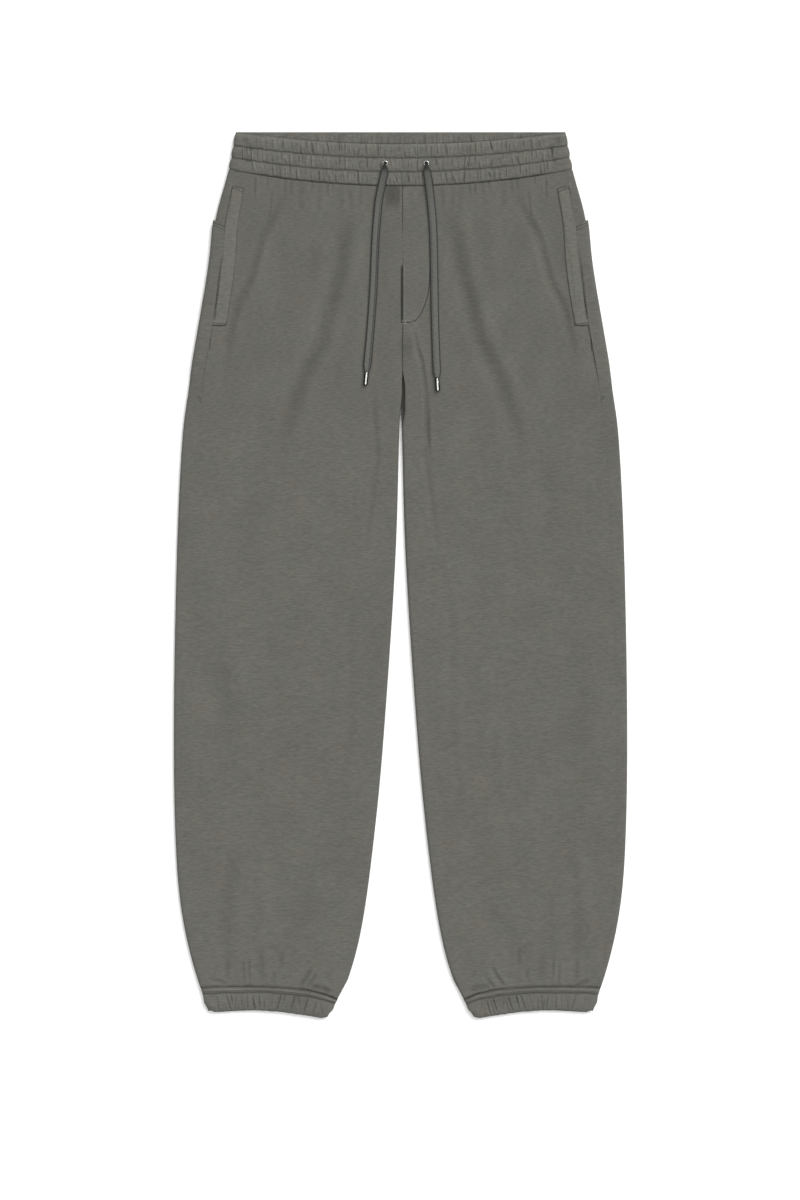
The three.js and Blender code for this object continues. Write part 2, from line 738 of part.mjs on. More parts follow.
add("waistband", waistband(), "jersey");
for (const [name, side] of Object.entries(SIDES)) {
  add(`front_${name}`, frontPanel(side), "jersey");
  add(`back_${name}`, backPanel(side), "jersey");
  add(`pocket_welt_${name}`, pocketWelt(side), "jersey");
  add(`back_pocket_${name}`, backPocket(side), "jersey");
  add(`cuff_${name}`, cuff(side), "jersey");

  const ring = add(`eyelet_${name}`, eyelet(), "metal");
  ring.position.copy(upright(side, EYELET_OUT[name], EYELET.down, BAND.crest + SEAM_GAP));

  add(`drawcord_${name}`, drawcord(name), "cord");
  const [before, end] = routePoints(name).slice(-2);
  const along = end.clone().sub(before).normalize();
  const tip = add(`cord_tip_${name}`, cordTip(), "metal");
  tip.position.copy(end).addScaledVector(along, SEAM_GAP);
  tip.quaternion.setFromUnitVectors(new THREE.Vector3(0, 0, 1), along);
}

export default garment;
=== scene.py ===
"""Jogger sweatpants in heavy brushed jersey, laid flat with the front up.

The cloth of each piece is a finer copy of its solid, with its gathers, creases and seam rolls shaped one by one. Rows
of stitching, a flat woven drawcord, eyelets and metal tips go with it, on a pale studio floor.

Tables give places in millimetres: x towards the wearer's left from the centre line, and down from the waist's top edge.
"""
import json
import math
import random
from collections import namedtuple

import bmesh
import bpy
import numpy as np
from mathutils import Matrix, Vector
from mathutils.bvhtree import BVHTree

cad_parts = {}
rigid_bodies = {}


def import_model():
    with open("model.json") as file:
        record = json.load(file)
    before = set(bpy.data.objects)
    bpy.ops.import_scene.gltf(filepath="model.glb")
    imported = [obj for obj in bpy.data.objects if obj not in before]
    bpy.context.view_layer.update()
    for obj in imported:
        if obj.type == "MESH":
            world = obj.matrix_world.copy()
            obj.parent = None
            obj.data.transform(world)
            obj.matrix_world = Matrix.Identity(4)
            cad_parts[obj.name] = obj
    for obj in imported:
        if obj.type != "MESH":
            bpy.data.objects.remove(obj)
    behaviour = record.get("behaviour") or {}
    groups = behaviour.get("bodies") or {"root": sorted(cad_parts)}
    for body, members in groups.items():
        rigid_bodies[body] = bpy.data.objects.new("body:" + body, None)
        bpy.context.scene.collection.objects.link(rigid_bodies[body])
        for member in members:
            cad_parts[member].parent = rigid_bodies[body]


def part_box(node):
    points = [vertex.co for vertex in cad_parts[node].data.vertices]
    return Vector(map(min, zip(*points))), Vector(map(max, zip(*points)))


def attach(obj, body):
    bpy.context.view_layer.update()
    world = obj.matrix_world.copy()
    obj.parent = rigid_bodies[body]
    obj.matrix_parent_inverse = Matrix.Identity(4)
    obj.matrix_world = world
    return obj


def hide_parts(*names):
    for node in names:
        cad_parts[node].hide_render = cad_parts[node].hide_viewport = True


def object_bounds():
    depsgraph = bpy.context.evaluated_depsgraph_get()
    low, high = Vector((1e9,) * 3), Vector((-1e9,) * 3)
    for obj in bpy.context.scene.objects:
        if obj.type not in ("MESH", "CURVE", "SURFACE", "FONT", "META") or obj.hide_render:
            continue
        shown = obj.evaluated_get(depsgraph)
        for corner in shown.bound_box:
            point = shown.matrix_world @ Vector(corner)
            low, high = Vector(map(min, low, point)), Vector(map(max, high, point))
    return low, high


bl_info = {
    "name": "Jogger Sweatpants",
    "version": (1, 0, 0),
    "blender": (4, 5, 0),
    "location": "View3D > Sidebar > Sweatpants",
    "description": "Dresses a laid-flat pair of jogger sweatpants with cloth, stitching, drawcord and trim",
    "category": "Add Mesh",
}

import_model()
CAD_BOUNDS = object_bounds()

MM = 0.001
SIDES = {"right": -1, "left": 1}
WAIST_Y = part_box("waistband")[1][1]

# The waistband, as in its solid: its height at the side, how far its edges dip at the middle, and its channels.
BAND_HALF_WIDTH = 202.3
BAND_HEIGHT = 43
BAND_TOP_DIP = 13.5
BAND_SEAM_DIP = 19.5
BAND_BACK_DIP = 4
BAND_CHANNELS = 3
BAND_MIDDLE_Z = 4.7

# A cuff's seam, the lower side of the ridge below it, and its hem, from the inseam (share 0) to the side (share 1).
CUFF_INNER = 74
CUFF_OUTER = 235.3
CUFF_SHARES = (0, 0.1, 0.25, 0.5, 0.75, 0.9, 1)
CUFF_SEAM = (1019.4, 1013, 1007.5, 1004.5, 1004, 1004.5, 1005.3)
CUFF_RIDGE = (1025, 1019.5, 1015, 1011.2, 1011.2, 1012, 1012.5)
CUFF_HEM = (1040, 1037, 1033.8, 1030, 1029.4, 1031, 1033.2)

# A trough along a route of (x, down) points. A negative depth makes it a low ridge.
Crease = namedtuple("Crease", "route width depth")

# Creases in the fronts. They are drawn on the wearer's right, and mirrored for the left.
WAIST_CREASES = [
    Crease(((-171.4, 50), (-172.2, 82)), 1.5, 1.1),
    Crease(((-157, 52), (-157.5, 66)), 1.4, 0.8),
    Crease(((-151, 64), (-155.5, 108)), 1.7, 1.0),
    Crease(((-136, 54), (-137, 74)), 1.8, 0.6),
    Crease(((-128, 52), (-130, 76)), 2.2, 0.6),
    Crease(((-117, 56), (-119, 80), (-115, 98)), 3.2, 0.55),
    Crease(((-124, 100), (-122, 122)), 4, 0.35),
    Crease(((-104, 54), (-105, 73)), 1.8, 0.65),
    Crease(((-95, 57), (-99, 98)), 3.2, 0.45),
    Crease(((-86, 58), (-86.5, 78)), 1.6, 0.75),
    Crease(((-80, 58), (-82, 74)), 1.6, 0.65),
    Crease(((-69, 60), (-71, 104)), 3.2, 0.5),
    Crease(((-62, 62), (-58, 92)), 3, 0.6),
    Crease(((-47, 61), (-50, 96)), 2.4, 0.6),
    Crease(((-12, 62), (-13, 92)), 3.2, 0.4),
]
LEG_CREASES = [
    Crease(((-129, 62), (-143, 85), (-163, 123), (-177, 175), (-193, 207), (-203, 247), (-208, 300)), 4.5, 1.5),
    Crease(((-43, 78), (-49.5, 91), (-65.5, 123), (-71.4, 167), (-81.3, 199), (-93.4, 246), (-117, 295),
            (-137, 358), (-146, 420)), 8.5, 1.9),
    Crease(((-105, 118), (-101, 150), (-112, 190)), 7, 0.4),
    Crease(((-158, 118), (-172, 200)), 9, -0.5),
    Crease(((-33.6, 290), (-29.6, 350), (-27.7, 382), (-35.6, 438), (-41.6, 486), (-45.5, 518)), 3.4, 0.9),
    Crease(((-43, 490), (-59.4, 570), (-59.4, 634), (-59.4, 694), (-69.4, 781), (-67.6, 850)), 5, 0.5),
    Crease(((-150, 330), (-176, 420), (-190, 520)), 14, 0.5),
    Crease(((-215, 600), (-204, 700), (-214, 790)), 15, 0.6),
    Crease(((-120, 690), (-119, 730), (-126, 801)), 4.5, -0.45),
    Crease(((-192, 835), (-204, 880), (-206, 930), (-203, 1000)), 8, 1.0),
    Crease(((-168, 890), (-173, 960), (-168, 1001)), 8, 0.7),
    Crease(((-95, 905), (-132, 950), (-139, 996)), 9, 0.7),
]
LEFT_CREASES = [
    Crease(((12, 226), (15.6, 235), (19.5, 255), (24.8, 271), (28.8, 301), (31, 350), (38, 414)), 2.6, 1.3),
]
CUFF_CREASES = [
    Crease(((-205.1, 969), (-204, 1003)), 3.2, 0.8),
    Crease(((-186, 972), (-184.5, 1003)), 2.2, 0.7),
    Crease(((-179, 970), (-178.5, 1000)), 1.7, 0.8),
    Crease(((-165, 962), (-163, 1002)), 4, 0.8),
    Crease(((-160, 958), (-148, 960), (-140, 974)), 4, 0.6),
    Crease(((-150, 984), (-150, 1003)), 2.4, 0.8),
    Crease(((-139, 960), (-142, 984)), 2.8, 0.8),
    Crease(((-133, 986), (-128, 998)), 2.4, 0.5),
    Crease(((-121, 1004), (-112, 994), (-103, 980)), 2.4, 1.4),
    Crease(((-112, 1006), (-104, 996), (-97, 986)), 2, 1.3),
    Crease(((-108, 1004), (-92, 1006), (-78, 1013)), 2.6, 1.8),
    Crease(((-88, 986), (-82, 1000)), 3.4, 0.8),
    Crease(((-223, 996), (-212, 998), (-203, 1001)), 2.2, 1.3),
]

# Gathers of a cuff, from its ridge to its hem.
CUFF_GATHERS = [
    Crease(((-217, 1013), (-214, 1032)), 1.6, 0.5),
    Crease(((-206, 1012), (-199, 1032)), 1.2, 1),
    Crease(((-199.8, 1012), (-198.5, 1024)), 1, 1.1),
    Crease(((-194, 1012), (-196, 1031)), 1.2, 0.8),
    Crease(((-188, 1016), (-187, 1026)), 1, 0.5),
    Crease(((-180.8, 1012), (-180, 1031)), 1.1, 1.2),
    Crease(((-174.6, 1014), (-172, 1030)), 1.2, 1),
    Crease(((-167, 1012), (-166, 1027)), 1, 1.1),
    Crease(((-160.5, 1016), (-162, 1030)), 1.1, 0.7),
    Crease(((-149, 1012), (-154, 1027)), 1, 0.7),
    Crease(((-140.5, 1012), (-148, 1031)), 1, 1.3),
    Crease(((-136.5, 1013), (-138, 1024)), 1.2, 1),
    Crease(((-124, 1014), (-132, 1032)), 1.1, 1.2),
    Crease(((-121.5, 1015), (-118, 1030)), 1.3, 0.8),
    Crease(((-109, 1016), (-116, 1034)), 1, 1.2),
    Crease(((-98.5, 1019), (-105, 1037)), 1.1, 1.3),
    Crease(((-95, 1022), (-92, 1036)), 1.1, 0.6),
]

# Dents at the waistband's ends, where the elastic's rows stop: distance out, down, and reach.
BAND_DENTS = [(177, 19.5, 3.6), (180.5, 33, 3.2), (184, 9, 3.5)]

# The side seam on the wearer's right, which is also the welt's outer edge, and the welt's inner edge.
SIDE_SEAM = (
    (-190.5, 46), (-198.3, 66.9), (-201.6, 91.6), (-205.2, 119.5), (-211.8, 156.9), (-215.6, 190.2),
    (-219.1, 220.7), (-223.5, 243), (-229.7, 269), (-234.4, 306), (-239.8, 338),
)
WELT_INNER = (
    (-185.5, 68), (-186.7, 82), (-189.6, 103), (-192.5, 122), (-196.6, 142), (-199.5, 158.5), (-202.5, 195),
    (-203.4, 226),
)
POCKET_OPENING = (145.5, 221)

# Sewing on the wearer's right front: tacks across both ends of the welt, the rows that end the patch's hem at
# the side, and a short tack on the side seam below the patch.
SIDE_SEWING = [
    ((-198.5, 63.6), (-188.5, 64.3), (-183.8, 66.3)),
    ((-198.5, 66.3), (-192, 66.9), (-185, 70.2)),
    ((-221.6, 223.8), (-205.2, 225)),
    ((-221, 226.2), (-212.2, 227.6), (-205.2, 225.6)),
    ((-223.6, 241), (-224.5, 257)),
    ((-239.6, 309.5), (-234.2, 317.5)),
    ((-237.5, 309), (-234.6, 313.5)),
]
PATCH_HEM = [((-221, 105.4), (-204.5, 112.4)), ((-221, 108.6), (-205, 115.9))]

# The curved stitching of the fly, and the five short rows that make its two tacks.
FLY_STITCH = ((35.5, 150), (34, 175), (31.8, 191.8), (28.5, 202.6), (23.8, 213.3), (17, 221.4), (7.5, 223.3))
FLY_TACKS = [((0.8, down), (7.4, down + 0.4)) for down in (220.6, 221.2, 221.8, 224, 224.6)]

# Rows of stitching on a patch, on the back of the wearer's right: the hem of its top, and its two sewn edges.
PATCH_ROWS = [
    ((-69, 92.5), (-140, 100), (-213, 108)),
    ((-69, 111), (-140, 118), (-215, 126.5)),
    ((-69.5, 90), (-75, 200), (-80.5, 312), (-150, 312), (-232, 312)),
    ((-75, 91), (-80.5, 200), (-86, 306.5), (-150, 306.5), (-231, 306.5)),
]

# The route of each end of the drawcord, from its eyelet to its metal tip: x, down and height.
CORD_ROUTES = {
    "right": [
        (-18.4, 35.5, 12.3), (-18.5, 41, 12.3), (-19.4, 50, 11.5), (-21.6, 60, 11.3), (-25.6, 81, 10.7),
        (-27.7, 103, 10.5), (-29.4, 124, 10.2), (-30.6, 150, 10), (-31.6, 177, 9.9), (-33.4, 207, 9.8),
        (-35.6, 236, 9.8), (-37.6, 258, 10.1), (-38.8, 271, 10.7), (-39.8, 281.5, 10.8),
    ],
    "left": [
        (30.4, 35.5, 12.3), (30.6, 41, 12.3), (31.6, 50, 11.5), (33.2, 60, 11.3), (35.6, 81, 10.7),
        (37.6, 103, 10.5), (38.6, 124, 10.2), (39.2, 150, 10), (39.7, 177, 9.9), (40.2, 207, 9.8),
        (41, 238, 9.8), (41.9, 264, 10.1), (42.5, 278, 10.7), (43, 288.5, 10.8),
    ],
}

# Where the eyelets are, and where the wrinkles of each channel of the waistband start.
EYELETS = {"right": (-18.2, 36.3), "left": (30.2, 36.3)}
WRINKLES_FROM = (-166, -183, -174)

# How the cord widens after its eyelet: metres along it, and shares of its full width.
CORD_START = ((0, 0.0045, 0.0085, 0.013), (0.34, 0.4, 0.88, 1))

# Where across it, from -1 to 1, each end of the flat cord has its lengthwise fold, and how dark its painted shade is.
CORD_FOLD = {"right": (-0.4, 0.9), "left": (0.52, 0.42)}

# The cord's mesh: points round it, along it, and in a path along it, which is worked out but not used.
CORD_ROUND = 36
CORD_ALONG = 160
CORD_PATH = 60
TIP_LENGTH = 15.5
# How much the tips' colour darkens down their sides: a painted dark reflection.
DARK_SIDES = 0.98

# How far the centre front seam leans towards the wearer's left.
CENTRE_LEAN = 2.1

# A cloth's cut wall is steeper than this slope, and its edge is sharper than this angle. A wall that faces
# sideways belongs to a side or centre seam. Seams close by the one distance, and those two lap by the other.
WALL_SLOPE = 0.35
CUT_ANGLE = math.radians(52)
SIDEWAYS = 0.8
SEAM_CLOSING = 0.13
SEAM_LAP = 0.33

# The garment's front half lies above this height. Nothing sinks nearer to the floor than the gap.
FRONT_FROM = (4, 6)
FLOOR_GAP = 0.02
# The painted shade and uneven tone of the cloth stay within this range.
SHADE_AND_TONE_RANGE = (0.25, 1.4)


def linear(hex_colour):
    """Turns an sRGB hex colour into linear red, green and blue."""
    parts = [int(hex_colour[i:i + 2], 16) / 255 for i in (1, 3, 5)]
    return [c / 12.92 if c <= 0.04045 else ((c + 0.055) / 1.055) ** 2.4 for c in parts]


def place(x, down, z=0.0):
    """A point in metres from a place on the garment in millimetres."""
    return Vector((x * MM, WAIST_Y - down * MM, z * MM))


def smooth(value, low, high):
    """0 below low, 1 above high, and eased between them."""
    t = np.clip((value - low) / (high - low), 0, 1)
    return t * t * (3 - 2 * t)


def between(value, low, full, last, high):
    """0 outside low and high, 1 from full to last, and eased on both sides."""
    return smooth(value, low, full) * (1 - smooth(value, last, high))


def bell(off, width):
    """1 on a line, and falling away on both sides of it over this width."""
    return np.exp(-(off / width) ** 2)


def colour_setting(name, description, hex_colour):
    """A colour that the user can change."""
    return bpy.props.FloatVectorProperty(
        name=name, description=description, subtype="COLOR", size=3, min=0, max=1, default=linear(hex_colour),
    )


def number_setting(name, description, default, **more):
    """A number that the user can change."""
    return bpy.props.FloatProperty(name=name, description=description, default=default, **more)


def length_setting(name, description, default, **more):
    """A length in metres that the user can change."""
    return number_setting(name, description, default, unit="LENGTH", **more)


class ClothSettings(bpy.types.PropertyGroup):
    """The jersey's look and how deep its creases are."""

    colour: colour_setting("Jersey", "Main colour of the jersey", "#595853")
    fleck: number_setting("Fleck", "How far the mixed yarn's light and dark streaks differ", 0.8, min=0, max=1)
    # How strongly painted shade darkens a trough, for each millimetre of its depth.
    crease_shade: number_setting(
        "Crease Tone", "How much the nap darkens in a trough one millimetre deep", 0.08, min=0, max=0.5,
    )
    crease_depth: number_setting(
        "Crease Depth", "Depth of every crease, as a share of the depth in its table", 1.0, min=0, max=2,
        subtype="FACTOR",
    )
    weld: length_setting("Weld", "Points closer than this are one", 0.00001, precision=6)


class StitchSettings(bpy.types.PropertyGroup):
    """The sewing thread and its stitches."""

    colour: colour_setting("Thread", "Colour of the thread", "#3E3D38")
    pitch: length_setting("Pitch", "Distance from one stitch to the next", 0.0032)
    length: length_setting("Length", "Length of thread that shows in a stitch", 0.0026)
    thread: length_setting("Thread Width", "Thickness of the thread", 0.0006)


class CordSettings(bpy.types.PropertyGroup):
    """The drawcord, its tips and its eyelets."""

    colour: colour_setting("Cord", "Colour of the cord", "#4F504B")
    width: length_setting("Width", "Width of the flat cord", 0.0094)
    thickness: length_setting("Thickness", "Thickness of the flat cord", 0.0022)
    metal: colour_setting("Metal", "Colour of the nickel plate", "#C2C2BE")


class StudioSettings(bpy.types.PropertyGroup):
    """The floor, the light and the camera."""

    floor: colour_setting("Floor", "Colour of the floor", "#FBFBFB")
    ambient: number_setting("Ambient", "Strength of the even light from all round", 0.16, min=0)
    overhead: number_setting("Overhead", "Strength of the wide soft light straight above", 2.6, min=0)
    key: number_setting("Key", "Strength of the soft light from above the waist", 2.0, min=0)
    frame_height: length_setting("Frame Height", "Height of the picture on the garment", 1.4086)
    frame_centre_y: length_setting("Frame Centre", "Where the middle of the picture is along Y", -0.0293)
    frame_centre_x: length_setting("Frame Side", "Where the middle of the picture is along X", -0.0007)
    lens: number_setting("Lens", "Focal length of the camera", 100, unit="CAMERA")


def settings():
    """The scene's settings for the whole garment."""
    return bpy.context.scene.sweatpants


class GarmentSettings(bpy.types.PropertyGroup):
    """Everything a user would change."""

    cloth: bpy.props.PointerProperty(type=ClothSettings)
    stitch: bpy.props.PointerProperty(type=StitchSettings)
    cord: bpy.props.PointerProperty(type=CordSettings)
    studio: bpy.props.PointerProperty(type=StudioSettings)


def add_node(tree, kind, inputs=None, **attributes):
    """Adds a shader node, sets its attributes, and sets or links its inputs. A node gives its first output."""
    node = tree.nodes.new("ShaderNode" + kind)
    for name, value in attributes.items():
        setattr(node, name, value)
    for name, value in (inputs or {}).items():
        if isinstance(value, bpy.types.Node):
            value = value.outputs[0]
        if isinstance(value, bpy.types.NodeSocket):
            tree.links.new(value, node.inputs[name])
        else:
            node.inputs[name].default_value = value
    return node


def new_material(name):
    """A material without nodes. Returns it and its tree."""
    material = bpy.data.materials.get(name)
    if material:
        bpy.data.materials.remove(material)
    material = bpy.data.materials.new(name)
    material.use_nodes = True
    material.node_tree.nodes.clear()
    return material, material.node_tree


def surfaced(material, inputs):
    """Ends a material's tree with its shader and output, and returns the material."""
    tree = material.node_tree
    add_node(tree, "OutputMaterial", {"Surface": add_node(tree, "BsdfPrincipled", inputs)})
    return material


def rgba(colour, scale=1.0):
    """A linear colour with alpha, made lighter or darker."""
    return [min(1.0, c * scale) for c in colour] + [1.0]


def brushed_jersey():
    """Heavy cotton jersey of mixed yarn, brushed: matt, with fine light and dark streaks across and a soft brushed
    pile.
    """
    cloth = settings().cloth
    material, tree = new_material("Brushed jersey")
    where = add_node(tree, "TexCoord").outputs["Object"]
    # Yarn streaks lie along the courses, 7 mm long and 1.3 mm apart: coarser than real yarn, so that they show.
    courses = add_node(tree, "Mapping", {"Vector": where, "Scale": (1 / 0.007, 1 / 0.0013, 1 / 0.004)})
    streak = add_node(tree, "TexNoise", {"Vector": courses, "Scale": 1.0, "Detail": 4.0, "Roughness": 0.7})
    # The dye and the nap vary over some centimetres.
    patch = add_node(tree, "TexNoise", {"Vector": where, "Scale": 1 / 0.045, "Detail": 3.0})
    warmth = add_node(tree, "TexNoise", {"Vector": where, "Scale": 1 / 0.014, "Detail": 3.0})
    # Painted shade darkens troughs and seams and a painted highlight lightens ridges, with some uneven tone.
    tone = add_node(tree, "Attribute", attribute_name="shade_and_tone").outputs["Fac"]
    for noise, swing in ((streak, 0.26 * cloth.fleck), (patch, 0.035)):
        part = add_node(tree, "MapRange", {
            "Value": noise, "From Min": 0.3, "From Max": 0.7, "To Min": 1 - swing, "To Max": 1 + swing,
        })
        tone = add_node(tree, "Math", {0: tone, 1: part}, operation="MULTIPLY")
    cool, warm = [
        rgba([c * k for c, k in zip(cloth.colour, cast)]) for cast in ((0.94, 1.01, 1.05), (1.06, 0.99, 0.94))
    ]
    tint = add_node(tree, "Mix", {"Factor": warmth, "A": cool, "B": warm}, data_type="RGBA")
    base = add_node(tree, "VectorMath", {0: tint.outputs["Result"], "Scale": tone}, operation="SCALE")
    # The knit's wales are 1.2 mm apart and its brushed nap is finer.
    knit = add_node(tree, "TexVoronoi", {"Vector": where, "Scale": 1 / 0.0012})
    fuzz = add_node(tree, "TexNoise", {"Vector": where, "Scale": 1 / 0.0006, "Detail": 4.0})
    relief = add_node(tree, "Math", {0: knit, 1: fuzz}, operation="ADD")
    bump = add_node(tree, "Bump", {"Height": relief, "Strength": 0.35, "Distance": 0.0004})
    return surfaced(material, {
        "Base Color": base, "Normal": bump, "Roughness": 0.95, "IOR": 1.45, "Specular IOR Level": 0.2,
        "Sheen Weight": 0.08, "Sheen Roughness": 0.5,
    })


def woven_cord():
    """Flat cotton lace: a tight braid of light and shaded strands, with painted shade along its two edges."""
    cord = settings().cord
    material, tree = new_material("Flat woven cord")
    along = add_node(tree, "UVMap", uv_map="UVMap")
    # Strands cross at 45 degrees, 1.6 mm apart.
    flip = add_node(tree, "Mapping", {"Vector": along, "Scale": (-1, 1, 1)})
    left, right = [
        add_node(tree, "TexWave", {
            "Vector": way, "Scale": 1 / 0.0016 / 6.283, "Distortion": 0.6,
        }, bands_direction="DIAGONAL").outputs["Fac"] for way in (along, flip)
    ]
    braid = add_node(tree, "Math", {0: left, 1: right}, operation="MULTIPLY")
    fibre = add_node(tree, "TexNoise", {"Vector": along, "Scale": 1 / 0.0014, "Detail": 4.0, "Roughness": 0.75})
    spread = add_node(tree, "SeparateXYZ", {"Vector": along}).outputs
    inward = add_node(tree, "Math", {0: spread["X"], 1: cord.width / 2}, operation="PINGPONG")
    # The fibres are mottled. Across, painted shade darkens both edges 0.8 mm wide. Along, painted shade darkens
    # the first centimetre, in the eyelet's hole, and the next five lighten slowly to full tone.
    # Painted shade darkens the lengthwise fold, from its own attribute.
    tone = add_node(tree, "Attribute", attribute_name="shade_and_tone").outputs["Fac"]
    for value, low, high, dark, light in (
        (fibre, 0.3, 0.7, 0.66, 1.34), (inward, 0.0021, 0.0027, 0.12, 1.0), (spread["Y"], 0.0062, 0.0125, 0.08, 1.0),
        (spread["Y"], 0.015, 0.065, 0.7, 1.0),
    ):
        part = add_node(tree, "MapRange", {
            "Value": value, "From Min": low, "From Max": high, "To Min": dark, "To Max": light,
        })
        tone = add_node(tree, "Math", {0: tone, 1: part}, operation="MULTIPLY")
    base = add_node(tree, "VectorMath", {0: cord.colour, "Scale": tone}, operation="SCALE")
    bump = add_node(tree, "Bump", {"Height": braid, "Strength": 0.5, "Distance": 0.0004})
    return surfaced(material, {"Base Color": base, "Normal": bump, "Roughness": 0.8, "Sheen Weight": 0.1})


def nickel_plate(name="Polished nickel plate", dark_sides=0.0):
    """Nickel plate on pressed brass: bright and a little rubbed, with a painted dark reflection down its sides if
    asked.
    """
    metal = settings().cord.metal
    material, tree = new_material(name)
    where = add_node(tree, "TexCoord").outputs["Object"]
    rub = add_node(tree, "TexNoise", {"Vector": where, "Scale": 1 / 0.0012, "Detail": 4.0})
    rough = add_node(tree, "MapRange", {"Value": rub, "To Min": 0.05, "To Max": 0.16})
    tone = add_node(tree, "Mix", {"Factor": rub, "A": rgba(metal, 0.85), "B": rgba(metal)}, data_type="RGBA")
    # Painted reflection: the colour darkens down the sides, as if they mirrored dark surroundings, and stays bright on
    # top.
    facing = add_node(tree, "NewGeometry").outputs["Normal"]
    upward = add_node(tree, "SeparateXYZ", {"Vector": facing}).outputs["Z"]
    bright = add_node(tree, "MapRange", {
        "Value": upward, "From Min": 0.87, "From Max": 0.98, "To Min": 1 - dark_sides, "To Max": 1.0,
    })
    base = add_node(tree, "VectorMath", {0: tone.outputs["Result"], "Scale": bright}, operation="SCALE")
    return surfaced(material, {"Base Color": base, "Specular Tint": base, "Roughness": rough, "Metallic": 1.0})


def sewing_thread(name="Spun polyester thread", paler=1.0):
    """Spun polyester thread: two plies with a slight gloss, a shade darker than the jersey unless made paler."""
    colour = settings().stitch.colour
    material, tree = new_material(name)
    where = add_node(tree, "TexCoord").outputs["Object"]
    ply = add_node(tree, "TexNoise", {"Vector": where, "Scale": 1 / 0.0005, "Detail": 2.0})
    tone = add_node(tree, "Mix", {
        "Factor": ply, "A": rgba(colour, 0.8 * paler), "B": rgba(colour, 1.2 * paler),
    }, data_type="RGBA")
    return surfaced(material, {"Base Color": tone.outputs["Result"], "Roughness": 0.6})


def painted_floor():
    """Matt white studio board with a barely uneven tone."""
    colour = settings().studio.floor
    material, tree = new_material("Matt white board")
    where = add_node(tree, "TexCoord").outputs["Object"]
    wear = add_node(tree, "TexNoise", {"Vector": where, "Scale": 2.0})
    tone = add_node(tree, "Mix", {"Factor": wear, "A": rgba(colour, 0.98), "B": rgba(colour)}, data_type="RGBA")
    return surfaced(material, {"Base Color": tone.outputs["Result"], "Roughness": 0.9, "Specular IOR Level": 0.1})


def finished(bm, name, material, shade_and_tone=None):
    """Makes an object of a bmesh at the origin, with its material and, if given, its painted shade and uneven tone."""
    mesh = bpy.data.meshes.new(name)
    bm.to_mesh(mesh)
    bm.free()
    mesh.polygons.foreach_set("use_smooth", [True] * len(mesh.polygons))
    mesh.materials.append(material)
    if shade_and_tone is not None:
        mesh.attributes.new("shade_and_tone", "FLOAT", "POINT").data.foreach_set("value", shade_and_tone)
    piece = bpy.data.objects.new(name, mesh)
    bpy.context.scene.collection.objects.link(piece)
    return piece


def dressed(bm, name, material, node=None, shade_and_tone=None):
    """A finished piece that rides on the garment, and takes its node's place if it has one."""
    piece = finished(bm, name, material, shade_and_tone)
    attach(piece, "root")
    if node:
        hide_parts(node)
    return piece


def spun(profile, steps, closed=False):
    """A bmesh of a profile of (radius, height) points in millimetres, turned round the Z axis."""
    bm = bmesh.new()
    verts = [bm.verts.new((radius * MM, 0, height * MM)) for radius, height in profile]
    edges = [bm.edges.new(pair) for pair in zip(verts, verts[1:] + (verts[:1] if closed else []))]
    bmesh.ops.spin(
        bm, geom=verts + edges, cent=(0, 0, 0), axis=(0, 0, 1), angle=2 * math.pi, steps=steps, use_merge=True,
    )
    bmesh.ops.remove_doubles(bm, verts=bm.verts, dist=1e-7)
    bmesh.ops.recalc_face_normals(bm, faces=bm.faces)
    return bm


def round_edges(bm, edges, radius):
    """Rounds some edges of a bmesh."""
    bmesh.ops.bevel(
        bm, geom=edges, offset=radius * MM, offset_type="OFFSET", affect="EDGES", segments=2, profile=0.5,
        material=-1, clamp_overlap=True,
    )


def cut_edges(bm, sideways):
    """The edges where a cloth's face meets its cut wall. The walls beside a side seam face sideways."""
    found = []
    for edge in bm.edges:
        if edge.calc_face_angle(0) > CUT_ANGLE:
            walls = [abs(face.normal.x) for face in edge.link_faces if abs(face.normal.z) < WALL_SLOPE]
            if not sideways or (walls and max(walls) > SIDEWAYS):
                found.append(edge)
    return found


def close_seams(bm):
    """Closes the gap that each solid keeps at its seams. The edges at side and centre seams lap a little."""
    for vert in bm.verts:
        walls = [face.normal for face in vert.link_faces if abs(face.normal.z) < WALL_SLOPE]
        if walls and len(walls) < len(vert.link_faces):
            out = sum(walls, Vector())
            out.z = 0
            if out.length > 0.1:
                out.normalize()
                vert.co += out * (SEAM_LAP if abs(out.x) > SIDEWAYS else SEAM_CLOSING) * MM


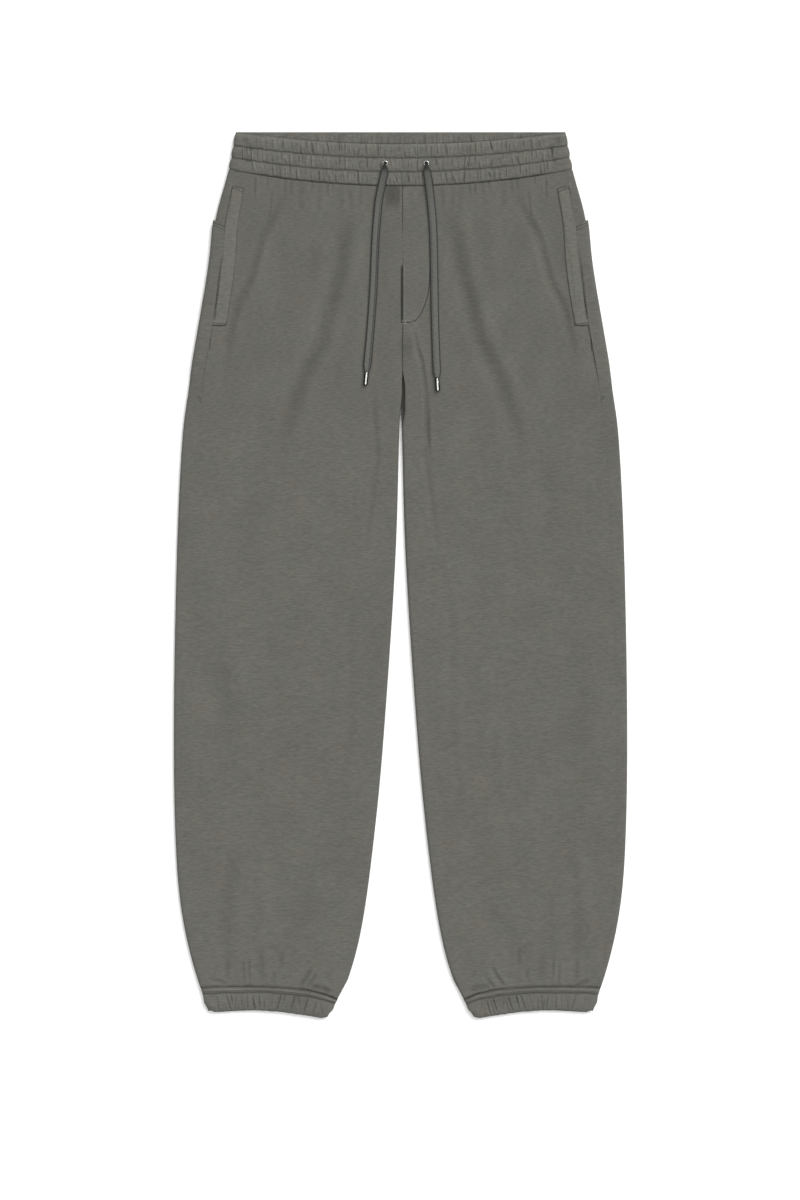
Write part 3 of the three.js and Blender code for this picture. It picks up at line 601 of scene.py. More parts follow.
def finer_copy(node, levels, edge_round, side_round, refine=()):
    """A bmesh of a node's solid: welded, its quads found again, its cut edges rounded, and subdivided.

    Each entry of refine tells which faces are cut in four once more, by their place and normal.
    """
    bm = bmesh.new()
    bm.from_mesh(bpy.data.objects[node].data)
    bmesh.ops.remove_doubles(bm, verts=bm.verts, dist=settings().cloth.weld)
    bmesh.ops.join_triangles(
        bm, faces=bm.faces, angle_face_threshold=math.radians(60), angle_shape_threshold=math.radians(120),
    )
    close_seams(bm)
    bm.normal_update()
    round_edges(bm, cut_edges(bm, sideways=True), side_round)
    round_edges(bm, cut_edges(bm, sideways=False), edge_round)
    mesh = bpy.data.meshes.new("working")
    bm.to_mesh(mesh)
    bm.free()
    working = bpy.data.objects.new("working", mesh)
    bpy.context.scene.collection.objects.link(working)
    subdivision = working.modifiers.new("Soften", "SUBSURF")
    subdivision.levels = subdivision.render_levels = levels
    evaluated = working.evaluated_get(bpy.context.evaluated_depsgraph_get())
    finer = bmesh.new()
    finer.from_mesh(evaluated.to_mesh())
    evaluated.to_mesh_clear()
    bpy.data.objects.remove(working)
    bpy.data.meshes.remove(mesh)
    finer.normal_update()
    for wanted in refine:
        chosen = set()
        for face in finer.faces:
            middle = face.calc_center_median() / MM
            if wanted(middle.x, WAIST_Y / MM - middle.y, middle.z, face.normal.z):
                chosen.update(face.edges)
        # A set has no order of its own, so the edges are cut in the mesh's order.
        ordered = [edge for edge in finer.edges if edge in chosen]
        bmesh.ops.subdivide_edges(finer, edges=ordered, cuts=1, use_grid_fill=True)
        finer.normal_update()
    return finer


class Points:
    """The points of a bmesh as arrays in millimetres, which shaping functions move, and its painted shade and uneven
    tone.
    """

    def __init__(self, bm):
        self.bm = bm
        self.x, along, self.z = np.array([v.co[:] for v in bm.verts]).T / MM
        self.down = WAIST_Y / MM - along
        self.shade_and_tone = np.ones(len(self.x))
        upward = np.array([v.normal.z for v in bm.verts])
        self.top = smooth(upward, 0.15, 0.7)
        self.underneath = smooth(-upward, 0.15, 0.7)

    def sink(self, depth, where, tone=1.0):
        """Lowers points by a depth where they are wanted, and paints shade there in step with it, or a highlight where
        it rises.
        """
        self.z -= where * depth
        self.shade_and_tone -= where * depth * settings().cloth.crease_shade * tone

    def put_back(self):
        """Moves the bmesh's points to where the arrays have them, and never below the floor."""
        self.z = np.maximum(self.z, FLOOR_GAP)
        for vert, (x, down, z) in zip(self.bm.verts, zip(self.x, self.down, self.z)):
            vert.co = place(x, down, z)
        self.bm.normal_update()


def along_route(x, down, route):
    """How far points are from a route, and how far along it the nearest place is, from 0 to 1."""
    near = np.full_like(x, np.inf)
    share = np.zeros_like(x)
    lengths = [math.dist(a, b) for a, b in zip(route, route[1:])]
    gone = 0
    for (ax, ad), (bx, bd), length in zip(route, route[1:], lengths):
        t = np.clip(((x - ax) * (bx - ax) + (down - ad) * (bd - ad)) / length ** 2, 0, 1)
        off = np.hypot(x - ax - t * (bx - ax), down - ad - t * (bd - ad))
        closer = off < near
        near[closer] = off[closer]
        share[closer] = (gone + t[closer] * length) / sum(lengths)
        gone += length
    return near, share


def crease_depth(x, down, creases):
    """How deep some creases are at points: each a trough between two low banks that fades towards its ends."""
    total = np.zeros_like(x)
    for crease in creases:
        reach = 4 * crease.width
        xs, downs = zip(*crease.route)
        near = (x > min(xs) - reach) & (x < max(xs) + reach) & (down > min(downs) - reach)
        near &= down < max(downs) + reach
        off, share = along_route(x[near], down[near], crease.route)
        u = off / crease.width
        total[near] += crease.depth * between(share, 0, 0.2, 0.65, 1) * (bell(u, 1) - 0.3 * bell(u - 1.8, 1))
    return total * settings().cloth.crease_depth


def press(points, routes, where, width=0.75, depth=0.45, tone=9, mirror=True):
    """Presses rows of stitching into the cloth: narrow grooves with painted shade, and a low bank with a painted
    highlight at each side.
    """
    x = -np.abs(points.x) if mirror else points.x
    for route in routes:
        xs, downs = zip(*route)
        near = (x > min(xs) - 5) & (x < max(xs) + 5)
        near &= (points.down > min(downs) - 5) & (points.down < max(downs) + 5)
        off = np.full_like(x, np.inf)
        off[near] = along_route(x[near], points.down[near], route)[0]
        u = off / width
        points.sink(depth * (bell(u, 1) - 0.25 * bell(u - 2, 1)), where, tone)


def mirrored(creases, stretch=1.0, seed=7):
    """The creases of the other side, a little different in place, length and depth."""
    uneven = random.Random(seed)
    other = []
    for crease in creases:
        slide, lean, longer = uneven.uniform(-2, 2), uneven.uniform(-1, 1), uneven.uniform(-5, 5) * stretch
        last = len(crease.route) - 1
        route = tuple(
            (slide - x + lean * i / last, down + longer * i / last) for i, (x, down) in enumerate(crease.route)
        )
        other.append(Crease(route, crease.width, crease.depth * uneven.uniform(0.85, 1.15)))
    return other


def soft_noise(x, down, scale, seed):
    """Smooth uneven height, about -1 to 1, that changes over some millimetres."""
    wave = random.Random(seed)
    total = np.zeros_like(x)
    for _ in range(7):
        angle, phase, size = wave.uniform(0, math.pi), wave.uniform(0, 6.28), scale * wave.uniform(0.7, 1.6)
        total += np.sin((x * math.cos(angle) + down * math.sin(angle)) * 2 * math.pi / size + phase)
    return total / 3.5


def line_at(table, down):
    """Where a line of (x, down) points is across, at points this far down."""
    across, downs = zip(*table)
    return np.interp(down, downs, across)


def dress(node, bm, shade_and_tone):
    """Finishes a cloth piece in the jersey, which is made once."""
    jersey = bpy.data.materials.get("Brushed jersey") or brushed_jersey()
    piece = dressed(bm, node + "_cloth", jersey, node, np.clip(shade_and_tone, *SHADE_AND_TONE_RANGE))


class SWEATS_OT_stage(bpy.types.Operator):
    """Lays the floor, hangs the lights and sets up the camera straight above the garment"""

    bl_idname = "sweats.stage"
    bl_label = "Studio"

    def execute(self, context):
        studio = settings().studio
        scene = context.scene
        bm = bmesh.new()
        bmesh.ops.create_grid(bm, x_segments=1, y_segments=1, size=6)
        bmesh.ops.translate(bm, verts=bm.verts, vec=(0, 0, -0.0003))
        finished(bm, "floor", painted_floor())

        scene.view_settings.view_transform = "Standard"
        world = bpy.data.worlds.new("Soft box")
        world.use_nodes = True
        background = world.node_tree.nodes["Background"].inputs
        background["Color"].default_value = (1, 1, 1, 1)
        background["Strength"].default_value = studio.ambient
        scene.world = world

        for name, energy, spread, direction in (
            ("overhead", studio.overhead, 86, (0.1, 0.1, 1)),
            ("key", studio.key, 30, (0.62, 0.75, 0.95)),
        ):
            lamp = bpy.data.lights.new(name, "SUN")
            lamp.energy = energy
            lamp.angle = math.radians(spread)
            hung = bpy.data.objects.new(name, lamp)
            hung.rotation_euler = Vector(direction).to_track_quat("Z", "Y").to_euler()
            scene.collection.objects.link(hung)

        camera = bpy.data.cameras.new("camera")
        camera.lens = studio.lens
        camera.sensor_width = 36
        camera.clip_end = 100
        above = studio.lens * studio.frame_height / camera.sensor_width
        viewer = bpy.data.objects.new("camera", camera)
        viewer.location = (studio.frame_centre_x, studio.frame_centre_y, above + CAD_BOUNDS[1].z)
        scene.collection.objects.link(viewer)
        scene.camera = viewer
        return {"FINISHED"}


def route_at(points):
    """A smooth line through a cord's points. Returns a function from a share of its length to a point and direction."""
    line = [points[0]]
    steps = 12
    for before, start, end, after in zip(points[:1] + points, points, points[1:], points[2:] + points[-1:]):
        for step in range(1, steps + 1):
            t = step / steps
            line.append(0.5 * (
                2 * start + (end - before) * t + (2 * before - 5 * start + 4 * end - after) * t ** 2
                + (3 * start - before - 3 * end + after) * t ** 3
            ))
    reach = [0.0]
    for a, b in zip(line, line[1:]):
        reach.append(reach[-1] + (b - a).length)

    def at(share):
        target = share * reach[-1]
        i = min(len(line) - 2, max(0, int(np.searchsorted(reach, target)) - 1))
        t = (target - reach[i]) / (reach[i + 1] - reach[i])
        return line[i].lerp(line[i + 1], t), (line[i + 1] - line[i]).normalized()

    return at, reach[-1]


class SWEATS_OT_drawcord(bpy.types.Operator):
    """Runs the two free ends of the flat drawcord out of their eyelets and down to their metal tips"""

    bl_idname = "sweats.drawcord"
    bl_label = "Drawcord, Eyelets and Tips"

    def execute(self, context):
        lace = woven_cord()
        plate = nickel_plate()
        # The tips get a painted dark reflection down their sides.
        dark_sided_plate = nickel_plate("Nickel plate with painted dark sides", DARK_SIDES)
        for name in SIDES:
            tip = self.tip(name, dark_sided_plate)
            self.eyelet(name, plate)
            self.lace(name, lace, tip)
        return {"FINISHED"}

    def lace(self, name, material, tip):
        """One flat end: narrow where it comes out of the eyelet and where it goes into its tip."""
        cord = settings().cord
        at, length = route_at([place(*point) for point in CORD_ROUTES[name]])
        bm = bmesh.new()
        uv = bm.loops.layers.uv.new("UVMap")
        # The grid's first direction goes round the cord, and its second runs along it.
        bmesh.ops.create_grid(bm, x_segments=CORD_ROUND, y_segments=CORD_ALONG, size=0.5, calc_uvs=True)
        params = [((v.co.x + 0.5) * 2 * math.pi, v.co.y + 0.5) for v in bm.verts]
        shade = bm.verts.layers.float.new("shade_and_tone")
        fold, dark = CORD_FOLD[name]
        lean = random.Random(name).uniform(0.05, 0.1)
        for face in bm.faces:
            for loop in face.loops:
                turn, share = params[loop.vert.index]
                loop[uv].uv = (turn / (2 * math.pi) * 2 * cord.width, share * length)
        for vert, (turn, share) in zip(bm.verts, params):
            middle, direction = at(share)
            across = direction.cross(Vector((0, 0, 1))).normalized()
            up = across.cross(direction).normalized()
            roll = lean * math.sin(share * 9 + 1)
            start = min(1, share * length / 0.012)
            end = min(1, (1 - share) * length / 0.008)
            width = cord.width / 2 * float(np.interp(share * length, *CORD_START)) * (0.45 + 0.55 * end ** 0.7)
            thick = cord.thickness / 2 * (1 + 0.7 * (1 - end) + 0.5 * (1 - start))
            side = math.cos(turn)
            flat = math.copysign(abs(side) ** 0.8, side) * width
            rise = math.copysign(abs(math.sin(turn)) ** 0.8, math.sin(turn)) * thick
            groove = 0.0002 * math.exp(-((abs(side) - 0.72) / 0.1) ** 2) * math.copysign(1, rise)
            creased = math.exp(-((side - fold) / 0.13) ** 2) * (rise > 0)
            groove += 0.0006 * creased
            vert.co = middle + across * flat + up * (rise - groove + roll * flat)
            # Painted shade darkens the fold, fading in over the first third, and the strip beyond it towards the edge.
            beyond = 0.2 * (abs(side) > abs(fold) and side * fold > 0)
            vert[shade] = 1 - max(dark * creased * min(1, 3 * share), beyond)
        bmesh.ops.remove_doubles(bm, verts=bm.verts, dist=1e-6)
        bmesh.ops.holes_fill(bm, edges=[edge for edge in bm.edges if edge.is_boundary], sides=0)
        bmesh.ops.recalc_face_normals(bm, faces=bm.faces)
        piece = dressed(bm, f"drawcord_{name}_lace", material, f"drawcord_{name}")
        path = [at(i / CORD_PATH)[0] for i in range(CORD_PATH + 1)]

    def tip(self, name, material):
        """A metal tip, spun: a rolled mouth, a plain barrel with two pressed rings, and a domed end."""
        bm = spun([
            (0.0, 0.0), (2.0, 0.0), (2.38, 0.3), (2.42, 0.9), (2.36, 1.4), (2.36, 3.6), (2.25, 3.9), (2.36, 4.2),
            (2.36, 11.2), (2.25, 11.5), (2.36, 11.8), (2.38, 14.4), (2.1, 15.1), (1.2, 15.45), (0.0, TIP_LENGTH),
        ], 32)
        before, end = [place(*point) for point in CORD_ROUTES[name][-2:]]
        low, high = [Vector(corner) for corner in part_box(f"cord_tip_{name}")]
        along = (end - before).normalized()
        mouth = (low + high) / 2 - along * TIP_LENGTH * MM / 2
        turn = along.to_track_quat("Z", "Y").to_matrix().to_4x4()
        bmesh.ops.transform(bm, verts=bm.verts, matrix=Matrix.Translation(mouth) @ turn)
        return dressed(bm, f"cord_tip_{name}_metal", material, f"cord_tip_{name}")

    def eyelet(self, name, material):
        """A pressed eyelet: a domed flange round its hole, with a rolled inner lip."""
        bm = spun([
            (2.0, -1.6), (2.05, 0.4), (2.25, 0.9), (2.6, 1.1), (3.05, 0.95), (3.35, 0.5), (3.4, 0.1), (3.2, 0.0),
            (2.5, 0.0), (2.3, -0.5), (2.25, -1.6),
        ], 48, closed=True)
        low, high = [Vector(corner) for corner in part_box(f"eyelet_{name}")]
        bmesh.ops.translate(bm, verts=bm.verts, vec=((low.x + high.x) / 2, (low.y + high.y) / 2, low.z))
        dressed(bm, f"eyelet_{name}_metal", material, f"eyelet_{name}")


def band_edges(x, back):
    """How far down the waistband's top edge and its seam are, at a distance out."""
    dip = 1 - (x / BAND_HALF_WIDTH) ** 2
    return (0 if back else BAND_TOP_DIP) * dip, BAND_HEIGHT + (BAND_BACK_DIP if back else BAND_SEAM_DIP) * dip


def band_share(points, back=False):
    """Where points are down the waistband, from its top edge (0) to its seam (1)."""
    top, seam = band_edges(np.clip(points.x, -BAND_HALF_WIDTH, BAND_HALF_WIDTH), back)
    return (points.down - top) / (seam - top)


def band_line(x, share, back=False):
    """How far down the waistband's line at a share of its height is, at a distance out."""
    top, seam = band_edges(x, back)
    return top + (seam - top) * share


def channel_wrinkles(channel, back=False):
    """The uneven wrinkles of one channel, from end to end."""
    uneven = random.Random(31 + channel + 10 * back)
    wrinkles = []
    x = WRINKLES_FROM[channel] + uneven.uniform(-2, 2)
    while x < -WRINKLES_FROM[channel]:
        high, low = [band_line(x, (channel + part) / BAND_CHANNELS, back) for part in (0.02, 0.98)]
        start = high + (low - high) * uneven.choice((0, 0, 0.15, 0.45)) - 2
        end = low - (low - high) * uneven.choice((0, 0, 0.2, 0.4)) + 2
        lean = uneven.choice((0, uneven.uniform(-1, 1), uneven.uniform(-4, 4)))
        depth = uneven.choice((-1.3, -0.9, 1, 1.2)) * uneven.uniform(0.5, 1.4)
        wrinkles.append(Crease(((x, start), (x + lean, end)), uneven.uniform(0.8, 1.5), depth))
        x += uneven.uniform(2.8, 9.5)
    return wrinkles


class SWEATS_OT_waistband(bpy.types.Operator):
    """Shapes the elastic waistband: three puffed channels with uneven wrinkles between their rows of stitching"""

    bl_idname = "sweats.waistband"
    bl_label = "Waistband"

    def execute(self, context):
        bm = finer_copy("waistband", 2, 0.6, 0.6, [
            lambda x, down, z, up: up > 0.6 and (z > BAND_MIDDLE_Z + 0.3 or down < 16),
        ])
        points = Points(bm)
        over = points.z > BAND_MIDDLE_Z + 0.3
        front = points.top * over
        self.channels(points, front, back=False)
        self.channels(points, -points.underneath * ~over, back=True)
        # The elastic also draws in the back's inner face, which shows above the front, with painted shade and
        # highlights.
        inside = points.top * ~over
        drawn_in = np.clip(crease_depth(points.x, points.down - 3, channel_wrinkles(0, True)), -0.6, 1)
        points.sink(drawn_in, inside, tone=2.2)
        # Each eyelet sits in a pit, darkened by painted shade.
        for x, down in EYELETS.values():
            pit = 1 - smooth(np.hypot(points.x - x, points.down - down), 1.7, 2.3)
            points.sink(2.6 * pit, front, tone=2)
        # The dents at the band's ends are darkened by painted shade.
        for out, down, reach in BAND_DENTS:
            points.sink(bell(np.hypot(np.abs(points.x) - out, points.down - down), reach), front, tone=2.6)
        blotch = soft_noise(points.x, points.down * 1.6, 16, 71) + 0.7 * soft_noise(points.x, points.down, 38, 72)
        points.shade_and_tone += front * (0.06 + 0.05 * blotch) + 0.07 * blotch * inside
        # Painted shade darkens the back's inner face next to the front's top edge, and a painted highlight lightens
        # that edge.
        # Subdividing has drawn the top edge in.
        above = points.down - band_line(points.x, 0)
        points.shade_and_tone += 0.12 * front * bell(above - 1.5, 1.2) - 0.45 * inside * bell(above + 0.6, 1.1)
        points.down -= 1.1 * (1 - smooth(points.down, 0, 9)) * ~over
        share = band_share(points)
        edge = smooth(np.abs(points.x), BAND_HALF_WIDTH - 14, BAND_HALF_WIDTH - 1)
        puffed = np.abs(np.sin(math.pi * BAND_CHANNELS * np.clip(share, 0, 1))) ** 0.7
        points.x += np.sign(points.x) * edge * (1.7 * puffed - 1.1)
        points.put_back()
        dress("waistband", bm, points.shade_and_tone)
        return {"FINISHED"}

    def channels(self, points, where, back):
        """Wrinkles each channel of one side and presses its rows of stitching in, with painted shade and highlights."""
        share = band_share(points, back)
        calm = np.ones_like(share)
        for x, down in EYELETS.values():
            calm *= smooth(np.hypot((points.x - x) / 1.2, points.down - down), 3.5, 6)
        for channel in range(BAND_CHANNELS):
            depth = calm * crease_depth(points.x, points.down, channel_wrinkles(channel, back))
            depth *= between(share * BAND_CHANNELS - channel, -0.02, 0.06, 0.94, 1.02)
            points.sink(depth, where, tone=1.25)
            # A painted highlight lightens the wrinkles' ridges more.
            points.shade_and_tone += 0.16 * np.maximum(-depth, 0) * where
        for seam in range(1, BAND_CHANNELS + 1):
            off = (share - seam / BAND_CHANNELS) * BAND_HEIGHT + 0.35 * soft_noise(points.x, points.down, 11, seam)
            end = 1 - 0.75 * smooth(np.abs(points.x), 166, 180) * (seam == BAND_CHANNELS)
            end *= np.clip(1.05 + 0.15 * soft_noise(points.x, points.down, 21, 50 + seam), 0.8, 1.3)
            points.sink(end * bell(off, 0.9), where, tone=4)


class SWEATS_OT_fronts(bpy.types.Operator):
    """Shapes the two fronts, with the gathers under the waistband, the fly, and the creases of the legs"""

    bl_idname = "sweats.fronts"
    bl_label = "Fronts"

    def execute(self, context):
        for name, side in SIDES.items():
            bm = finer_copy(f"front_{name}", 2, 0.6, 0.15, [
                lambda x, down, z, up: up > 0.5,
                lambda x, down, z, up: up > 0.7 and (
                    abs(down - band_line(x, 1)) < 4 or (abs(x) < 36 and 52 < down < 296)
                    or abs(down - cuff_line(x, CUFF_SEAM)) < 3
                ),
            ])
            points = Points(bm)
            points.z += folds_height(points, side)
            fine = WAIST_CREASES + CUFF_CREASES
            if side > 0:
                fine = mirrored(fine)
            # Painted shade darkens the creases and the broad folds.
            points.sink(crease_depth(points.x, points.down, fine), points.top, tone=1.5)
            points.shade_and_tone -= points.top * leg_shade_and_tone(points, side)
            self.seams(points)
            self.fly(points, side)
            points.put_back()
            dress(f"front_{name}", bm, points.shade_and_tone)
        return {"FINISHED"}

    def seams(self, points):
        """Rolls the cloth into the waist and cuff seams with painted shade, and opens the pocket beside the welt."""
        rolled = np.clip(0.8 + 0.15 * soft_noise(points.x, points.down, 24, 61), 0.55, 1.1)
        points.sink(rolled * bell(points.down - band_line(points.x, 1), 1.1), points.top, tone=3)
        # The cuff seam sinks deeper, with darker painted shade, towards the inseam, where the leg overhangs it.
        wedge = 1 + 1.3 * (1 - smooth(np.abs(points.x), 100, 125))
        points.sink(0.9 * wedge * bell(points.down - cuff_line(points.x, CUFF_SEAM), 1.3), points.top, tone=3)
        sew_side(points, points.top)

    def fly(self, points, side):
        """Leans the centre seam towards the wearer's left, laps the fly and opens the fork."""
        points.x += CENTRE_LEAN * bell(points.x, 14) * (1 - smooth(points.down, 300, 345))
        opened = 3.5 if side > 0 else -0.9
        points.x += opened * between(points.down, 274, 300, 326, 350) * bell(points.x, 16)
        seam = points.x - CENTRE_LEAN
        closed = 1 - smooth(points.down, 95, 135) + between(points.down, 222, 228, 270, 290)
        lapped = between(points.down, 154, 160, 220, 226)
        # The seam sinks with painted shade. Along the lap, the cloth just right of the seam sinks with painted shade,
        # and the left front's edge rises with a painted highlight.
        points.sink(0.45 * bell(seam, 0.9) * closed, points.top, tone=5)
        points.sink(1.5 * bell(seam + 0.9, 1.3) * lapped, points.top, tone=5)
        if side > 0:
            points.sink(-0.7 * bell(seam - 1.5, 1.1) * lapped, points.top, tone=3)
        press(points, [FLY_STITCH], points.top, depth=0.55, tone=14, mirror=False)
        press(points, [((1, 223), (7.4, 223.4))], points.top, width=0.6, tone=12, mirror=False)
        # Painted shade darkens a patch beside the seam under the waistband. Above the fork the cloth sinks into a
        # shallow hollow, with painted shade in it.
        facing = between(points.x, -19.5, -16.5, -2.5, 0.5) * (1 - smooth(points.down, 76, 96))
        points.shade_and_tone -= 0.32 * points.top * facing
        points.sink(0.7 * bell(points.x - 5, 9) * bell(points.down - 252, 13), points.top, tone=3)


def leg_folds(side):
    """The broad folds of one leg's front."""
    return LEG_CREASES if side < 0 else mirrored(LEG_CREASES, seed=3) + LEFT_CREASES


def folds_height(points, side):
    """The broad folds of one leg, which the whole layer follows, and its slow unevenness."""
    uneven = 0.3 * soft_noise(points.x, points.down, 120, 3) + 0.1 * soft_noise(points.x, points.down, 34, 11 + side)
    return uneven * smooth(np.abs(points.x), 2, 12) - crease_depth(points.x, points.down, leg_folds(side))


def leg_shade_and_tone(points, side):
    """How much painted shade darkens the broad folds of one leg, with the top a little darker and uneven tone."""
    upper = 1 - smooth(points.down, 260, 420)
    tone = (0.6 + 0.5 * upper) * settings().cloth.crease_shade * crease_depth(points.x, points.down, leg_folds(side))
    tone += 0.03 * upper + 0.03 * upper * soft_noise(points.x * 1.7, points.down * 0.8, 62, 81 + side)
    return tone + 0.015 * soft_noise(points.x, points.down, 60, 21 + side)


def open_pocket(points, where):
    """Sinks the cloth at both sides of a pocket's opening with painted shade, and presses the sewing beside it in."""
    off = np.abs(points.x) + line_at(SIDE_SEAM, points.down)
    first, last = POCKET_OPENING
    opened = between(points.down, first - 14, first + 22, last - 4, last + 1)
    points.sink(1.1 * opened * bell(off, 1.05), where, tone=5)
    press(points, SIDE_SEWING, where)


def sew_side(points, where):
    """Opens the pocket and presses the side seam in with painted shade where it shows, beside the welt's top and
    faintly below it.
    """
    open_pocket(points, where)
    off = np.abs(points.x) + line_at(SIDE_SEAM, points.down)
    shown = between(points.down, 62, 67, 78, 112) + 0.35 * between(points.down, 254, 262, 296, 310)
    points.sink(0.4 * shown * bell(off, 0.7), where, tone=8)


def cuff_line(x, table):
    """How far down a line of a cuff is, at a distance out."""
    share = (np.abs(x) - CUFF_INNER) / (CUFF_OUTER - CUFF_INNER)
    return np.interp(share, CUFF_SHARES, table)


class SWEATS_OT_backs(bpy.types.Operator):
    """Shapes the two backs, whose side edges come round to the front"""

    bl_idname = "sweats.backs"
    bl_label = "Backs"

    def execute(self, context):
        for name, side in SIDES.items():
            bm = finer_copy(f"back_{name}", 2, 0.6, 0.15, [
                lambda x, down, z, up: (z > 5 and up > 0.4) or (up < -0.5 and (down < 120 or down > 950)),
            ])
            points = Points(bm)
            over = smooth(points.z, *FRONT_FROM)
            points.z += over * folds_height(points, side)
            # Painted shade darkens the broad folds and the cuff seam.
            points.shade_and_tone -= points.top * over * leg_shade_and_tone(points, side)
            points.sink(0.9 * bell(points.down - cuff_line(points.x, CUFF_SEAM), 1.3), points.top * over, tone=3)
            sew_side(points, points.top * over)
            # Painted shade darkens the back where it shows in the gap of the fork.
            fork = between(points.down, 268, 285, 336, 350)
            points.shade_and_tone -= 0.6 * points.top * fork * bell(points.x - 3, 7)
            # The back has creases like the front's. It lies on the floor, so they go up into it, with painted shade in
            # them.
            creases = [crease for crease in WAIST_CREASES + CUFF_CREASES if abs(crease.route[0][0]) > 20]
            creases = mirrored(creases, seed=5) if side > 0 else mirrored(mirrored(creases, seed=9), seed=13)
            depth = crease_depth(points.x, points.down + 14 * (points.down < 200), creases)
            folds = LEG_CREASES if side < 0 else mirrored(LEG_CREASES, seed=4)
            depth += 0.6 * crease_depth(points.x, points.down, folds)
            points.sink(np.clip(depth, 0, 1.6), -points.underneath * (1 - over), tone=-1.5)
            points.put_back()
            dress(f"back_{name}", bm, points.shade_and_tone)
        return {"FINISHED"}


class SWEATS_OT_cuffs(bpy.types.Operator):
    """Shapes the gathered cuffs, with the ridge under each seam"""

    bl_idname = "sweats.cuffs"
    bl_label = "Cuffs"

    def execute(self, context):
        for name, side in SIDES.items():
            bm = finer_copy(f"cuff_{name}", 2, 0.6, 0.6, [lambda x, down, z, up: up > 0.2 and z > 5])
            points = Points(bm)
            gathers = CUFF_GATHERS + [self.bank(gather) for gather in CUFF_GATHERS[::2]]
            gathers = gathers if side < 0 else mirrored(gathers, 0)
            over = points.z > BAND_MIDDLE_Z
            front = points.top * over
            back = -points.underneath * ~over
            depth = crease_depth(points.x, points.down, gathers)
            # Painted shade darkens the gathers, and a painted highlight lightens the banks beside them.
            points.sink(depth, front, tone=0.85)
            points.sink(np.clip(depth, 0, 1), back, tone=-0.6)
            shaded = bell(np.abs(points.x) - 124, 22) * bell(points.down - 1019, 6)
            points.shade_and_tone += front * (0.05 - 0.13 * shaded + 0.035 * soft_noise(points.x, points.down, 19, 43))
            waver = 0.5 * soft_noise(points.x, points.down, 26, 41)
            # The seam and the ridge's lower side sink with painted shade, and the ridge rises with a painted highlight.
            for line in (CUFF_SEAM, CUFF_RIDGE):
                off = points.down - cuff_line(points.x, line) + waver
                points.sink(0.9 * bell(off, 0.95), front, tone=4)
            ridge = points.down - (cuff_line(points.x, CUFF_SEAM) + cuff_line(points.x, CUFF_RIDGE)) / 2 + waver
            points.sink(-0.35 * bell(ridge + 0.6, 1.3), front, tone=3)
            self.drape(points, depth)
            points.put_back()
            dress(f"cuff_{name}", bm, points.shade_and_tone)
        return {"FINISHED"}

    def bank(self, gather):
        """A low ridge close beside a gather, leaning away from it, with a painted highlight."""
        (x, down), (to_x, to_down) = gather.route
        return Crease(((x + 2, down + 1), (to_x + 3.4, to_down)), 0.9, -0.8 * gather.depth)

    def drape(self, points, depth):
        """Lets the hem down to its length, scallops it between the gathers, and rounds the cuff's corners."""
        ridge, hem = [cuff_line(points.x, line) for line in (CUFF_RIDGE, CUFF_HEM)]
        share = smooth(points.down, ridge, hem - 2)
        points.down += share * (2.3 - 0.8 * np.clip(depth, -0.4, 1.5))
        out = np.abs(points.x)
        outer = CUFF_OUTER - 0.45 * (points.down - 1005)
        inner = CUFF_INNER + 0.6 * (points.down - 1019)
        outside, inside = smooth(out, outer - 11, outer + 3), 1 - smooth(out, inner - 3, inner + 11)
        points.down -= 2.8 * share ** 2 * (outside ** 2 + inside ** 2)
        out += 1.1 * np.sin(math.pi * share ** 1.3) * (outside - inside)
        points.x = np.sign(points.x) * out


class SWEATS_OT_pockets(bpy.types.Operator):
    """Shapes the pocket welts on the fronts and the patches that come round from the back"""

    bl_idname = "sweats.pockets"
    bl_label = "Pockets"

    def execute(self, context):
        for name, side in SIDES.items():
            welt = finer_copy(f"pocket_welt_{name}", 3, 0.5, 0.5)
            points = Points(welt)
            points.z += folds_height(points, side)
            inward = -line_at(WELT_INNER, points.down) - np.abs(points.x)
            points.sink(0.8 * smooth(inward, -3.5, 0.5), points.top, tone=0)
            sew_side(points, points.top)
            points.shade_and_tone += 0.13
            points.put_back()
            dress(f"pocket_welt_{name}", welt, points.shade_and_tone)

            patch = finer_copy(f"back_pocket_{name}", 2, 0.3, 0.15, [
                lambda x, down, z, up: (z > 5 and up > 0.2) or up < -0.7,
                lambda x, down, z, up: z > 5 and up > 0.2 and down < 132,
            ])
            points = Points(patch)
            over = smooth(points.z, *FRONT_FROM)
            points.down -= 4 * over * (1 - smooth(points.down, 108, 150))
            flush = smooth(points.down, 262, 312)
            points.z += over * (folds_height(points, side) - 2.3 * flush)
            rim = 15.5 - line_at(SIDE_SEAM, points.down)
            points.x -= np.sign(points.x) * 1.7 * flush * smooth(np.abs(points.x), rim - 9, rim - 1)
            open_pocket(points, points.top * over)
            press(points, PATCH_HEM, points.top * over, width=0.7, tone=9)
            press(points, PATCH_ROWS, -points.underneath * (1 - over), tone=-9)
            points.put_back()
            dress(f"back_pocket_{name}", patch, points.shade_and_tone)
        return {"FINISHED"}


